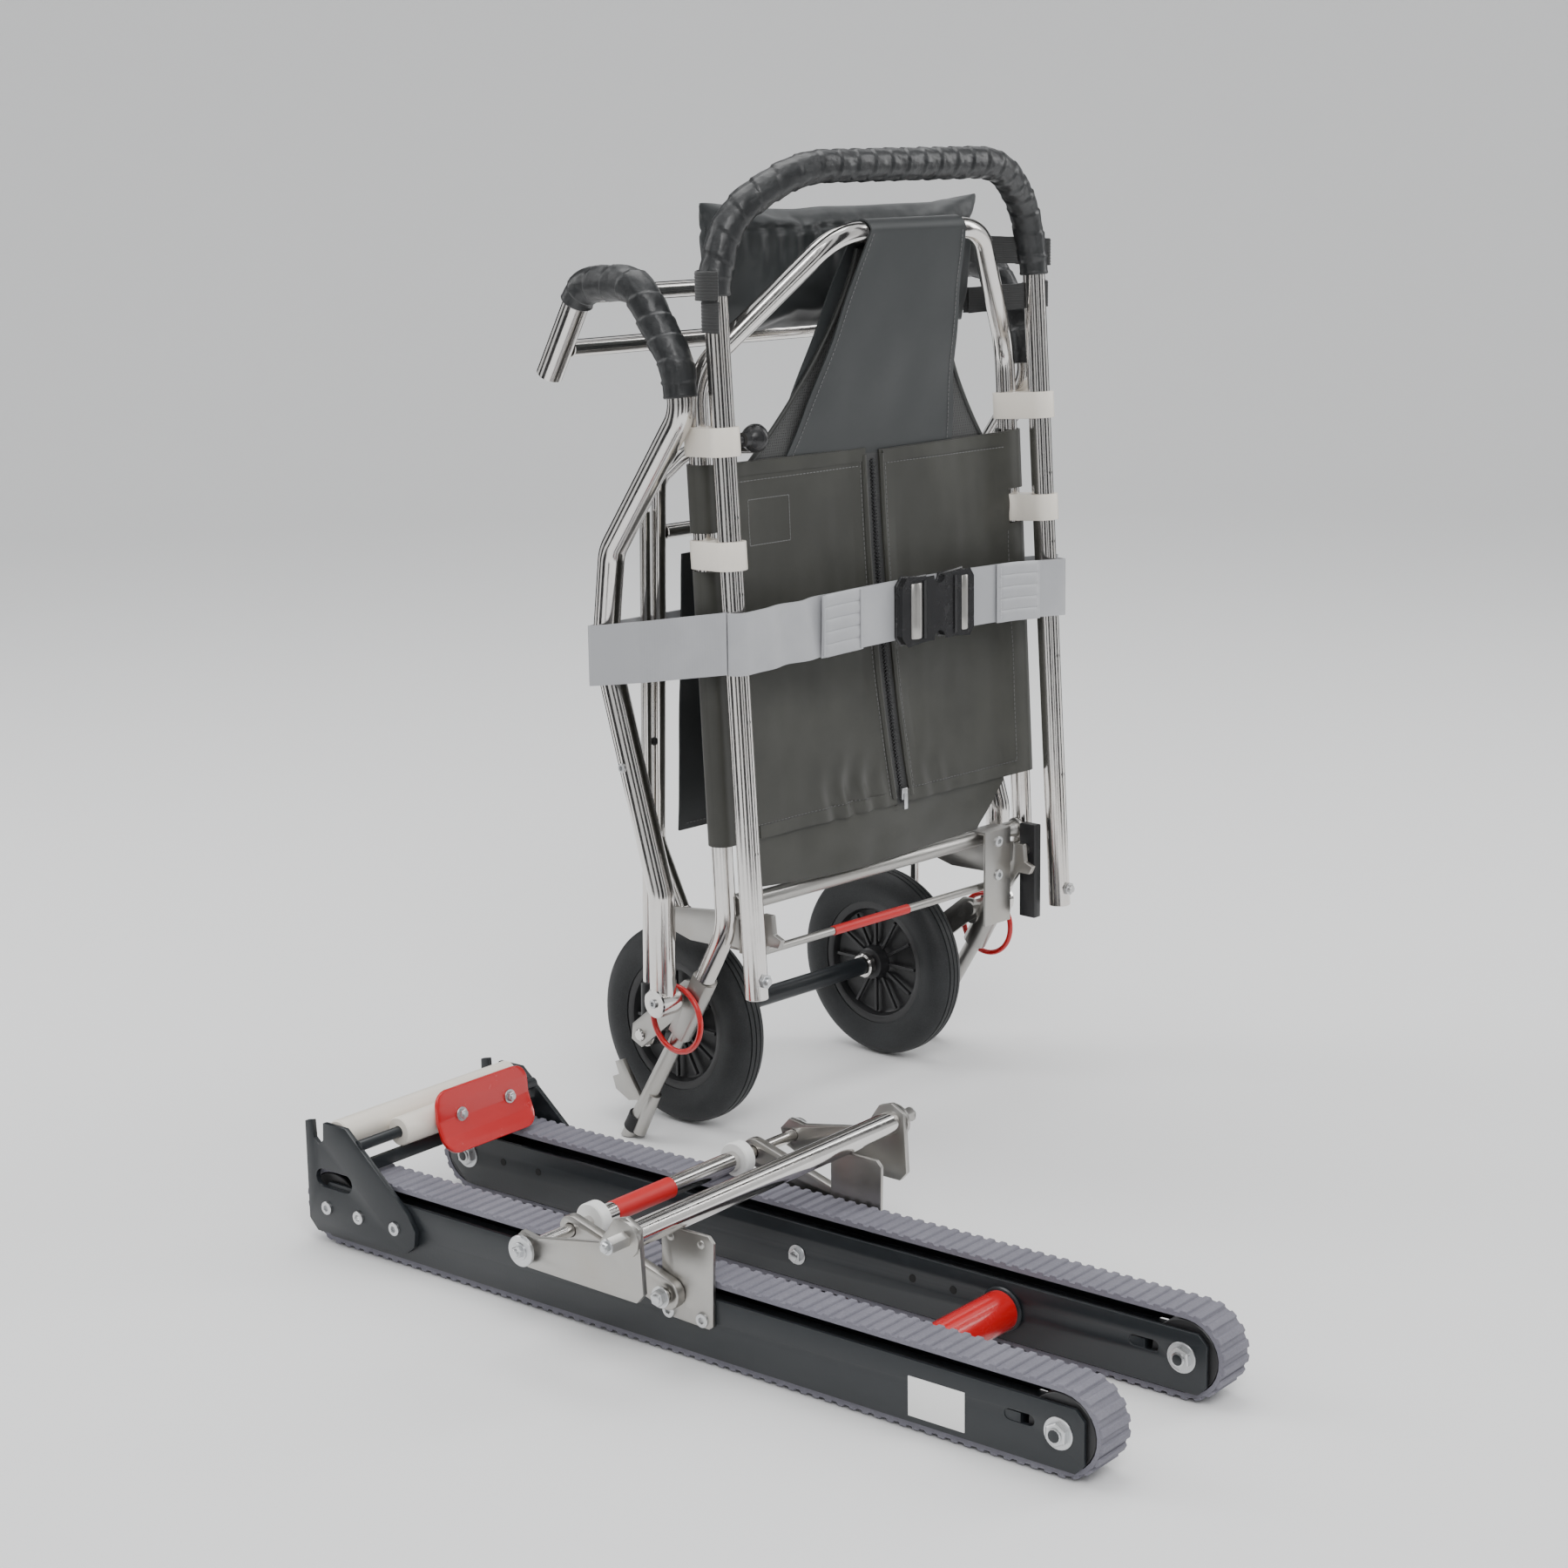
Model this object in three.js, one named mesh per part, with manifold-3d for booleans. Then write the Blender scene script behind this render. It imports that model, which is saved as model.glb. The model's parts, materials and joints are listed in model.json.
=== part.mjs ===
// Folding stair chair with its detached track unit. Millimetres, +Z up.
// The chair stands folded on its wheels and feet; the track unit lies beside it.
import * as THREE from 'three';
import { mergeVertices } from 'three/addons/utils/BufferGeometryUtils.js';
import Module from 'manifold-3d';

const wasm = await Module();
wasm.setup();
const { Manifold, Mesh } = wasm;

// shared
const gap = 0.3;
const bboxCentre = { x: -193.2, y: -355.9 };

// chair: widths are half widths from the middle plane, heights from the floor
const wheel = { y: 0, z: 100, x: 147, radius: 100, half: 19, hubHalf: 22 };
const axle = { radius: 6, reach: 209, nutRadius: 13, nutLong: 10 };
const postX = 224, postRadius = 11, postFoot = 175;
const postY = (z) => -177 + 0.059 * (z - 175);
const backX = 218, backRadius = 10;
const backY = (z) => -129 + 0.0526 * (z - 312);
const lean = Math.atan(0.056);
const frontX = 246, frontRadius = 12.5, frontGrip = 17;
const pivot = { y: -75, z: 158 };
const seatPivot = { y: -36, z: 222 };
const seatX = 180, seatRadius = 7, seatPin = 4;
const strutX = 196, strutRadius = 5;
const collarHeights = [585, 687], collarTall = 26;
const footX = 218, footRadius = 8;
const ring = { radius: 32, wire: 2.8, x: 229.3 };
const strap = { backLow: 483, frontLow: 453, tall: 57, slope: -0.1625 };

// track unit: its own frame, then turned and set beside the chair
const track = { x: -479.7, y: -386.7, yaw: 4.71, middle: 23 };
const beam = { inner: 62, outer: 107, wall: 3, low: 8, high: 58, end: 384 };
const belt = { inner: 30.3, base: 33.8, tip: 36, half: 18.5, teeth: 146, z: 36 };
const beamMid = (beam.inner + beam.outer) / 2;
const linkPivot = { y: -20, z: 57 }, rodAxis = { y: 82, z: 88 }, hub = { y: -27, z: 122.1 };

const colours = {
  steel: 0xc9cbce, satin: 0xb4b6b8, black: 0x1c1d20, rubber: 0x222325, vinyl: 0x2c2f2c,
  ivory: 0xe6dfd2, red: 0xd9222a, strap: 0xa3a6a9, belt: 0x77757f,
};
const group = new THREE.Group();

// a path of straight runs joined by arcs, sampled only where it turns
class BentPath extends THREE.Curve {
  constructor(corners, bend, step = 18) {
    super();
    const pts = corners.map((c) => new THREE.Vector3(...c));
    this.samples = [pts[0].clone()];
    this.tangents = [pts[1].clone().sub(pts[0]).normalize()];
    for (let i = 1; i < pts.length - 1; i += 1) {
      const into = pts[i].clone().sub(pts[i - 1]), out = pts[i + 1].clone().sub(pts[i]);
      const room = Math.min(into.length() * (i > 1 ? 0.5 : 0.98),
        out.length() * (i < pts.length - 2 ? 0.5 : 0.98));
      const a = into.normalize(), b = out.normalize(), turn = a.angleTo(b);
      const reach = Math.min(bend * Math.tan(turn / 2), room * 0.999);
      const radius = reach / Math.tan(turn / 2);
      const normal = b.clone().sub(a.clone().multiplyScalar(a.dot(b))).normalize();
      const start = pts[i].clone().addScaledVector(a, -reach);
      const n = Math.max(1, Math.ceil(turn * 180 / Math.PI / step));
      for (let k = 0; k <= n; k += 1) {
        const t = turn * k / n;
        this.samples.push(start.clone().addScaledVector(a, radius * Math.sin(t))
          .addScaledVector(normal, radius * (1 - Math.cos(t))));
        this.tangents.push(a.clone().multiplyScalar(Math.cos(t))
          .addScaledVector(normal, Math.sin(t)).normalize());
      }
    }
    this.samples.push(pts.at(-1).clone());
    this.tangents.push(pts.at(-1).clone().sub(pts.at(-2)).normalize());
  }
  at(list, t) { return list[Math.round(t * (list.length - 1))]; }
  getPoint(t, target = new THREE.Vector3()) { return target.copy(this.at(this.samples, t)); }
  getPointAt(t, target) { return this.getPoint(t, target); }
  getSpacedPoints() { return this.samples.map((p) => p.clone()); }
  getTangentAt(t, target = new THREE.Vector3()) { return target.copy(this.at(this.tangents, t)); }
}

const circle = (radius, sides, y = 0, z = 0, turn = 0) => Array.from({ length: sides }, (_, i) => {
  const a = turn + 2 * Math.PI * i / sides;
  return new THREE.Vector2(y + radius * Math.cos(a), z + radius * Math.sin(a));
});
const outline = (points, holes = []) => {
  const shape = new THREE.Shape(points.map((p) => (p.isVector2 ? p : new THREE.Vector2(...p))));
  shape.holes = holes.map((h) => new THREE.Path(h));
  return shape;
};
const sweep = (corners, radius, { sides = 12, bend = 40, bore = 0, step = 18 } = {}) => {
  const path = new BentPath(corners, bend, step);
  const holes = bore ? [circle(bore, sides)] : [];
  return new THREE.ExtrudeGeometry(outline(circle(radius, sides), holes),
    { steps: path.samples.length - 1, extrudePath: path });
};
// a flat profile drawn in (y, z) and given thickness from x0 to x1
const slab = (points, x0, x1, holes = []) => {
  const g = new THREE.ExtrudeGeometry(outline(points, holes),
    { depth: x1 - x0, bevelEnabled: false, steps: 1 });
  return g.applyMatrix4(new THREE.Matrix4().set(0, 0, 1, x0, 1, 0, 0, 0, 0, 1, 0, 0, 0, 0, 0, 1));
};
// a flat profile drawn in (x, y) and given height from z0 to z1
const prism = (points, z0, z1, holes = []) => new THREE.ExtrudeGeometry(outline(points, holes),
  { depth: z1 - z0, bevelEnabled: false, steps: 1 }).translate(0, 0, z0);
const block = (x0, x1, y0, y1, z0, z1) => new THREE.BoxGeometry(x1 - x0, y1 - y0, z1 - z0)
  .translate((x0 + x1) / 2, (y0 + y1) / 2, (z0 + z1) / 2);
const bar = (x0, x1, y, z, radius, sides = 16) => new THREE.CylinderGeometry(
  radius, radius, x1 - x0, sides).rotateZ(Math.PI / 2).translate((x0 + x1) / 2, y, z);
const between = (a, b, radius, sides = 12) => {
  const from = new THREE.Vector3(...a), to = new THREE.Vector3(...b), along = to.clone().sub(from);
  const turn = new THREE.Quaternion().setFromUnitVectors(
    new THREE.Vector3(0, 1, 0), along.clone().normalize());
  return new THREE.CylinderGeometry(radius, radius, along.length(), sides)
    .applyQuaternion(turn).translate(...from.add(to).multiplyScalar(0.5).toArray());
};
const spun = (profile, x, y, z, sides = 24) => new THREE.LatheGeometry(
  profile.map((p) => new THREE.Vector2(p[0], p[1])), sides).rotateZ(-Math.PI / 2).translate(x, y, z);

// a twelve-sided hole that clears a round of the given radius
const around = (radius) => (radius + gap) / Math.cos(Math.PI / 12);

const solid = (geometry) => {
  const bare = geometry.clone();
  bare.deleteAttribute('uv');
  bare.deleteAttribute('normal');
  const merged = mergeVertices(bare, 1e-4);
  const mesh = new Mesh({ numProp: 3, vertProperties: new Float32Array(merged.attributes.position.array),
    triVerts: new Uint32Array(merged.index.array) });
  mesh.merge();
  return new Manifold(mesh);
};
const surface = (manifold) => {
  const mesh = manifold.getMesh();
  const g = new THREE.BufferGeometry();
  g.setAttribute('position', new THREE.BufferAttribute(new Float32Array(mesh.vertProperties), 3));
  g.setIndex(new THREE.BufferAttribute(new Uint32Array(mesh.triVerts), 1));
  return g;
};
const fuse = (...parts) => surface(parts.map(solid).reduce((a, b) => a.add(b)));
const cut = (body, ...tools) => surface(tools.map(solid).reduce((a, b) => a.subtract(b), solid(body)));

const place = (name, geometry, colour, onTrack = false) => {
  const g = geometry.clone();
  if (onTrack) {
    g.translate(track.middle, 0, 0);
    g.rotateZ(THREE.MathUtils.degToRad(track.yaw));
    g.translate(track.x, track.y, 0);
  }
  g.translate(-bboxCentre.x, -bboxCentre.y, 0);
  const mesh = new THREE.Mesh(g, new THREE.MeshStandardMaterial({ color: colour }));
  mesh.name = name;
  group.add(mesh);
};
const sides = [['left', -1], ['right', 1]];
const onTrack = (name, geometry, colour) => place(name, geometry, colour, true);

// ---- wheels on one axle ----
const tyreProfile = [[66, -15], [84, -wheel.half], [95, -15], [wheel.radius, -7],
  [wheel.radius, 7], [95, 15], [84, wheel.half], [66, 15], [66, -15]];
const rimProfile = [[axle.radius + gap, -wheel.hubHalf], [17, -wheel.hubHalf], [20, -5], [56, -4],
  [59, -14], [66 - gap, -14], [66 - gap, 14], [59, 14], [56, 4], [20, 5],
  [17, wheel.hubHalf], [axle.radius + gap, wheel.hubHalf], [axle.radius + gap, -wheel.hubHalf]];
for (const [side, s] of sides) {
  const x = s * wheel.x;
  place(`tyre_${side}`, spun(tyreProfile, x, wheel.y, wheel.z, 28), colours.rubber);
  const ribs = Array.from({ length: 6 }, (_, i) => block(-12, 12, -2, 2, 18, 58)
    .rotateX(Math.PI * i / 3).translate(x, wheel.y, wheel.z));
  place(`rim_${side}`, fuse(spun(rimProfile, x, wheel.y, wheel.z, 28), ...ribs), colours.black);
}
const nutX = wheel.x - wheel.hubHalf - 1;
place('axle', fuse(bar(-axle.reach, axle.reach, wheel.y, wheel.z, axle.radius),
  bar(nutX - axle.nutLong, nutX, wheel.y, wheel.z, axle.nutRadius),
  bar(-nutX, -nutX + axle.nutLong, wheel.y, wheel.z, axle.nutRadius)), colours.steel);

// ---- back frame: one bent tube from socket to socket over the top ----
const mirrored = (half) => [...half, ...half.slice().reverse().map(([x, y, z]) => [-x, y, z])];
const socketTop = { y: -103.2, z: 179 };
place('back_tube', sweep(mirrored([[-backX, socketTop.y, socketTop.z], [-backX, backY(238), 232],
  [-backX, backY(745), 745], [-100, -172, 866]]), backRadius, { bend: 62 }), colours.steel);
const latchPlate = [[-149, 164], [-149, 262], [-126, 262], [-126, 259], [-146.5, 259], [-146.5, 164]];
const hookPlate = [[-149, 232], [-149, 262], [-126, 262], [-126, 258], [-144, 258], [-144, 232]];
place('crossbar', fuse(bar(-backX + backRadius + 1, backX - backRadius - 1, backY(253), 253, 8),
  slab(latchPlate, 138, 178), slab(hookPlate, -203, -189)), colours.steel);

for (const [side, s] of sides) {
  const x = s * footX, toe = [x, 9, -4];
  const flat = [s * 226, s * 240].sort((a, b) => a - b);
  const socket = cut(between([x, -103, 178.6], [x, -68, 118], 12.5, 16),
    block(...flat, -130, -40, 90, 200));
  const bosses = bar(Math.min(s * 199, s * 233.2), Math.max(s * 199, s * 233.2), pivot.y, pivot.z, 7.5);
  const lugTip = [[12, 76], [22, 72], [17, 60], [26, 56], [22, 44], [4, 36], [-14, 40]];
  const lug = slab(lugTip, x - 2.5, x + 2.5);
  const sideTube = between([x + s * 0.5, -31, 50], [x + s * 0.5, -8, 6], 7);
  const hanger = slab([[-84, 150], [-78, 168], [-64, 168], [10, 110], [12, 94], [-2, 88], [-70, 142]],
    Math.min(s * 203, s * 207), Math.max(s * 203, s * 207));
  const tie = bar(Math.min(s * 204, s * 216), Math.max(s * 204, s * 216), -74, 150, 9);
  const raw = fuse(between([x, -70, 121], toe, footRadius, 16), socket, bosses, lug, sideTube,
    tie, cut(hanger, bar(s > 0 ? 200 : -210, s > 0 ? 210 : -200, wheel.y, wheel.z, axle.radius + gap)));
  place(`foot_${side}`, cut(raw, block(x - 40, x + 40, -60, 60, -30, 0)), colours.satin);
}

// gussets that carry the seat hinge
for (const [side, s] of sides) {
  const x = [s * 190.5, s * 194.5].sort((a, b) => a - b);
  const plate = slab([[-143, 206], [-143, 242], [-120, 242], [-28, 232], [-26, 212], [-60, 204]], ...x);
  const pin = bar(Math.min(s * 172, s * 194), Math.max(s * 172, s * 194), seatPivot.y, seatPivot.z,
    seatPin);
  const foot = block(...[s * 192, s * 207.2].sort((a, b) => a - b), -143, -138, 208, 241);
  place(`seat_gusset_${side}`, fuse(plate, pin, foot), colours.satin);
}

// ---- collars clamping the handle posts to the back tube ----
const collarShape = (s, z) => {
  const far = backY(z) - postY(z), dx = -s * (postX - backX);
  const rim = [...circle(15, 24), ...circle(13.6, 24, dx, far)];
  const turnOf = (o, a, b) => (a.x - o.x) * (b.y - o.y) - (a.y - o.y) * (b.x - o.x);
  const sorted = rim.sort((a, b) => a.x - b.x || a.y - b.y);
  const chain = (list) => list.reduce((hull, p) => {
    while (hull.length > 1 && turnOf(hull.at(-2), hull.at(-1), p) <= 0) hull.pop();
    hull.push(p);
    return hull;
  }, []);
  const hull = [...chain(sorted).slice(0, -1), ...chain(sorted.slice().reverse()).slice(0, -1)];
  return [hull, [circle(around(postRadius), 12, 0, 0), circle(around(backRadius), 12, dx, far)]];
};
for (const [side, s] of sides) {
  collarHeights.forEach((z, i) => {
    const [hull, holes] = collarShape(s, z);
    const g = prism(hull, -collarTall / 2, collarTall / 2, holes).rotateX(-lean)
      .translate(s * postX, postY(z), z);
    place(`collar_${i ? 'upper' : 'lower'}_${side}`, g, colours.ivory);
  });
}
const knobX = -postX + 16;
place('plunger', spun([[0, 0], [4, 0], [4, 7], [6.5, 8], [7, 14], [11, 17], [13, 22], [12.4, 29],
  [8, 33], [0, 34]], knobX, postY(687), 687, 16), colours.black);

// ---- latch block, and the push bar that carries its two hooks ----
place('latch_block', block(196, 206.5, -166, -146, 164, 262), colours.black);
const latchAxis = { y: -156, z: 236 };
const hookShape = [[-162, 244], [-150, 244], [-148, 226], [-133, 210], [-133, 197], [-143, 196],
  [-156, 214], [-170, 214], [-174, 222], [-164, 226]];
place('push_bar', fuse(bar(-188, 188, -138, 203, 4, 12), slab(hookShape, 182, 188),
  slab(hookShape, -188, -182), bar(182, 195.5, latchAxis.y, latchAxis.z, 5)), colours.steel);

// ---- telescopic handle ----
const handlePath = mirrored([[-postX, postY(postFoot), postFoot], [-postX, postY(830), 830],
  [-206, -140, 886], [-140, -163, 926]]);
const handleTube = sweep(handlePath, postRadius, { bend: 110, step: 22 });
const stopBolt = { z: 194, radius: 4, long: 18 };
const stops = sides.map(([, s]) => between([s * postX, postY(stopBolt.z), stopBolt.z],
  [s * postX, postY(stopBolt.z) - stopBolt.long, stopBolt.z], stopBolt.radius, 8));
place('handle_tube', fuse(handleTube, ...stops), colours.steel);
const gripPath = handlePath.slice(1, -1);
gripPath[0] = [-postX, postY(815), 815];
gripPath[gripPath.length - 1] = [postX, postY(815), 815];
gripPath.splice(1, 0, handlePath[1]);
gripPath.splice(-1, 0, handlePath.at(-2));
place('handle_grip', sweep(gripPath, 15.5, { bend: 110, bore: around(postRadius), step: 22 }), colours.black);
place('head_pad', block(-198, 198, -104, -66, 766, 886), colours.vinyl);

// ---- front frame with its two open-ended grips ----
const frontCorners = [[59, 738], [8, 824], [-62, 826], [-112, 756], [-117, 712], [-20, 580],
  [-8, 488], [-76, 262], [pivot.y, pivot.z]];
const alongFront = (s) => frontCorners.map(([y, z]) => [s * frontX, y, z]);
for (const [side, s] of sides) {
  const tube = sweep(alongFront(s), frontRadius, { bend: 34, step: 24 });
  const start = new THREE.Vector3(...alongFront(s)[0]), next = new THREE.Vector3(...alongFront(s)[1]);
  const inward = next.clone().sub(start).normalize();
  const mouth = between(start.clone().addScaledVector(inward, -2).toArray(),
    start.clone().addScaledVector(inward, 30).toArray(), frontRadius - 2, 12);
  const eye = bar(s * frontX - frontRadius, s * frontX + frontRadius, pivot.y, pivot.z, 14);
  place(`front_tube_${side}`, fuse(cut(tube, mouth), eye), colours.steel);
  const grip = [[18.7, 805.96], ...frontCorners.slice(1, 4), [-115.4, 726]];
  place(`front_grip_${side}`, sweep(grip.map(([y, z]) => [s * frontX, y, z]), frontGrip,
    { bend: 34, bore: around(frontRadius), step: 24 }), colours.black);
}
const frontInside = frontX - frontRadius - gap;
const gripInside = frontX - frontGrip - gap;
place('footrest_upper', bar(-gripInside, gripInside, 15, 813, 8, 12), colours.steel);
place('footrest_lower', bar(-frontInside, frontInside, 44, 763, 8.5, 12), colours.steel);

// ---- seat frame, its sling and the two struts ----
const seatTube = sweep(mirrored([[-seatX, seatPivot.y, seatPivot.z + 6], [-seatX, -4, 290],
  [-seatX, -16, 640], [-172, -52, 672], [-90, -78, 668]]), seatRadius, { bend: 26, sides: 10 });
const seatEye = (s, radius, half) => bar(s * seatX - half, s * seatX + half,
  seatPivot.y, seatPivot.z, radius, 12);
place('seat_frame', cut(fuse(seatTube, seatEye(-1, 9, seatRadius), seatEye(1, 9, seatRadius)),
  seatEye(-1, around(seatPin), 12), seatEye(1, around(seatPin), 12)), colours.steel);
place('seat_crossbar', bar(-seatX + 7.3, seatX - 7.3, -14, 590, 7, 12), colours.steel);
place('seat_sling', slab([[-20, 300], [-16.5, 300], [-28.5, 570], [-32, 570]], -166, 166), colours.vinyl);
for (const [side, s] of sides) {
  const x = [s * (strutX - 5.2), s * (strutX + 5.2)].sort((a, b) => a - b);
  const eye = bar(...x, wheel.y, wheel.z, 13);
  const rod = between([s * strutX, -1, 108], [s * strutX, -13, 612], strutRadius, 10);
  place(`strut_${side}`, cut(fuse(rod, eye), bar(x[0] - 2, x[1] + 2, wheel.y, wheel.z,
    axle.radius + gap)), colours.steel);
}

// ---- soft pieces on the back ----
const panelHalf = [[-203, 335], [-203, 657], [-165, 660], [-128, 694], [-96, 760], [-62, 842]];
const panel = [...panelHalf, ...panelHalf.slice().reverse().map(([x, z]) => [-x, z])];
panel.push([166, 272], [-166, 272]);
const sheet = (points, thick) => new THREE.ExtrudeGeometry(outline(points.slice().reverse()),
  { depth: thick, bevelEnabled: false, steps: 1 }).rotateX(Math.PI / 2);
place('back_panel', sheet(panel.map(([x, z]) => [x, z - 312]), 3).rotateX(-Math.atan(0.0526))
  .translate(0, backY(312) - backRadius - 0.6, 312), colours.vinyl);
place('head_flap', slab([[-190, 879], [-186.5, 879], [-131, 661], [-134.4, 661]], -66, 66),
  colours.vinyl);

// ---- restraint strap, parted at the posts ----
const band = (points, low) => prism(points, low, low + strap.tall);
const sloped = new THREE.Matrix4().set(1, 0, 0, 0, 0, 1, 0, 0, 0, strap.slope, 1, 0, 0, 0, 0, 1);
place('strap_back', band([[-239, -162], [-236.5, -162], [-236, -171], [-230, -174],
  [230, -174], [236, -171], [236.5, -162], [239, -162], [238.8, -172], [231, -176.6],
  [-231, -176.6], [-238.8, -172]].reverse(), strap.backLow), colours.strap);
place('strap_front', band([[-239, -160], [-261.5, -70], [-261.5, -3], [-255, 8], [255, 8],
  [261.5, -3], [261.5, -70], [239, -160], [236.5, -160], [259, -70], [259, -4], [254, 5.4],
  [-254, 5.4], [-259, -4], [-259, -70], [-236.5, -160]],
strap.frontLow).applyMatrix4(sloped), colours.strap);
place('buckle', block(-30, 73, -188, -176.9, strap.backLow - 6, strap.backLow + strap.tall + 5), colours.black);

// ---- release rings, hung on the front pivots ----
for (const [side, s] of sides) {
  place(`pull_ring_${side}`, new THREE.TorusGeometry(ring.radius, ring.wire, 8, 24).rotateY(Math.PI / 2)
    .translate(s * ring.x, pivot.y, pivot.z - (ring.radius - ring.wire - 7.5 - gap)), colours.red);
}

// ---- track unit: beams, belts and pulleys ----
const slotAt = (y, z, long, tall) => {
  const r = tall / 2, n = 6;
  return [...Array.from({ length: n + 1 }, (_, i) => [-Math.PI / 2 + Math.PI * i / n, long / 2 - r]),
    ...Array.from({ length: n + 1 }, (_, i) => [Math.PI / 2 + Math.PI * i / n, r - long / 2])]
    .map(([a, c]) => new THREE.Vector2(y + c + r * Math.cos(a), z + r * Math.sin(a)));
};
const beamEnd = beam.end + 22;
const plateSide = [[-beamEnd + 8, beam.low], [beamEnd - 20, beam.low], [beamEnd, beam.low + 20],
  [beamEnd, beam.high - 20], [beamEnd - 20, beam.high], [-beamEnd + 8, beam.high],
  [-beamEnd, beam.high - 8], [-beamEnd, beam.low + 8]];
const beamSlot = { y: -349.5, z: 39, long: 27, tall: 9 };
for (const [side, s] of sides) {
  const at = (a, b) => [s * a, s * b].sort((p, q) => p - q);
  const slots = () => [slotAt(beamSlot.y, beamSlot.z, beamSlot.long, beamSlot.tall)];
  const web = block(...at(beam.inner + 1, beam.outer - 1), -beam.end + 34, beam.end - 34, 30, 42);
  const bolts = [-1, 1].map((e) => bar(...at(beam.inner - 7, beam.outer + (e < 0 ? 7 : -1)),
    e * beam.end, belt.z, 5, 12));
  const heads = [-1, 1].map((e) => bar(...at(beam.inner - 3.5, beam.inner), e * beam.end, belt.z, 9, 6));
  heads.push(bar(...at(beam.outer, beam.outer + 4), -beam.end, belt.z, 9, 6));
  onTrack(`beam_${side}`, fuse(slab(plateSide, ...at(beam.inner, beam.inner + beam.wall), slots()),
    slab(plateSide, ...at(beam.outer - beam.wall, beam.outer), slots()), web, ...bolts, ...heads),
  colours.black);
  const mid = s * beamMid;
  for (const [end, e] of [['front', -1], ['rear', 1]]) {
    onTrack(`pulley_${end}_${side}`, spun([[5 + gap, -belt.half], [belt.inner - 1, -belt.half],
      [belt.inner - 1, belt.half], [5 + gap, belt.half], [5 + gap, -belt.half]], mid, e * beam.end,
    belt.z, 24), colours.black);
  }
  const loop = (radius, n) => [...Array.from({ length: n + 1 }, (_, i) => {
    const a = -Math.PI / 2 + Math.PI * i / n;
    return new THREE.Vector2(beam.end + radius * Math.cos(a), belt.z + radius * Math.sin(a));
  }), ...Array.from({ length: n + 1 }, (_, i) => {
    const a = Math.PI / 2 + Math.PI * i / n;
    return new THREE.Vector2(-beam.end + radius * Math.cos(a), belt.z + radius * Math.sin(a));
  })];
  const straight = 2 * beam.end, turn = Math.PI * belt.tip, round = 2 * (straight + turn);
  const onLoop = (d, radius) => {
    let t = ((d % round) + round) % round;
    const flip = t >= straight + turn;
    if (flip) t -= straight + turn;
    const a = Math.max(0, t - straight) / belt.tip;
    const y = t < straight ? -beam.end + t : beam.end + radius * Math.sin(a);
    const z = t < straight ? -radius : -radius * Math.cos(a);
    return new THREE.Vector2(flip ? -y : y, belt.z + (flip ? -z : z));
  };
  const pitch = round / belt.teeth;
  const toothed = Array.from({ length: belt.teeth }, (_, i) => [[0, belt.base], [0.24, belt.tip],
    [0.76, belt.tip]].map(([f, r]) => onLoop((i + f) * pitch, r))).flat();
  onTrack(`belt_${side}`, slab(toothed, mid - belt.half, mid + belt.half, [loop(belt.inner, 10)]),
    colours.belt);
}
onTrack('cross_tube', bar(-beam.inner + gap, beam.inner - gap, -218, 34, 17, 20), colours.red);

// rear bracket: two cheeks tied by a plate and two rods
const cheek = [[408, 112], [399, 114], [398, 98], [392, 93], [386, 98], [385, 114], [357, 114],
  [283, 52], [274, 38], [276, 24], [286, 16], [398, 12], [408, 22]];
const cheekSlot = { y: 374, z: 63, long: 46, tall: 17 };
const cheekX = [beam.outer + gap, beam.outer + 5];
const roller = { y: 372, z: 104.5, radius: 13 }, lever = { y: 343, z: 101, radius: 13 };
const cheeks = sides.map(([, s]) => slab(cheek, ...cheekX.map((x) => s * x).sort((a, b) => a - b),
  [slotAt(cheekSlot.y, cheekSlot.z, cheekSlot.long, cheekSlot.tall)]));
onTrack('rear_bracket', fuse(...cheeks, block(-109, 109, 340, 344, 75.5, 87),
  bar(-110, 110, roller.y, roller.z, 5, 12), bar(-110, 110, lever.y, lever.z, 5, 12)), colours.black);
onTrack('roller', spun([[5 + gap, -106.5], [roller.radius, -106.5], [roller.radius, 106.5],
  [5 + gap, 106.5], [5 + gap, -106.5]], 0, roller.y, roller.z, 20), colours.ivory);
onTrack('lever_boss', spun([[5 + gap, -62], [lever.radius, -62], [lever.radius, 84], [5 + gap, 84],
  [5 + gap, -62]], 0, lever.y, lever.z, 20), colours.ivory);
const leverFace = [[329.5, 131], [325.5, 131], [322, 104], [316, 90], [309, 76], [313, 75],
  [320, 89], [326, 102.5]];
onTrack('lever_plate', slab(leverFace, -33, 82), colours.red);

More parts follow.
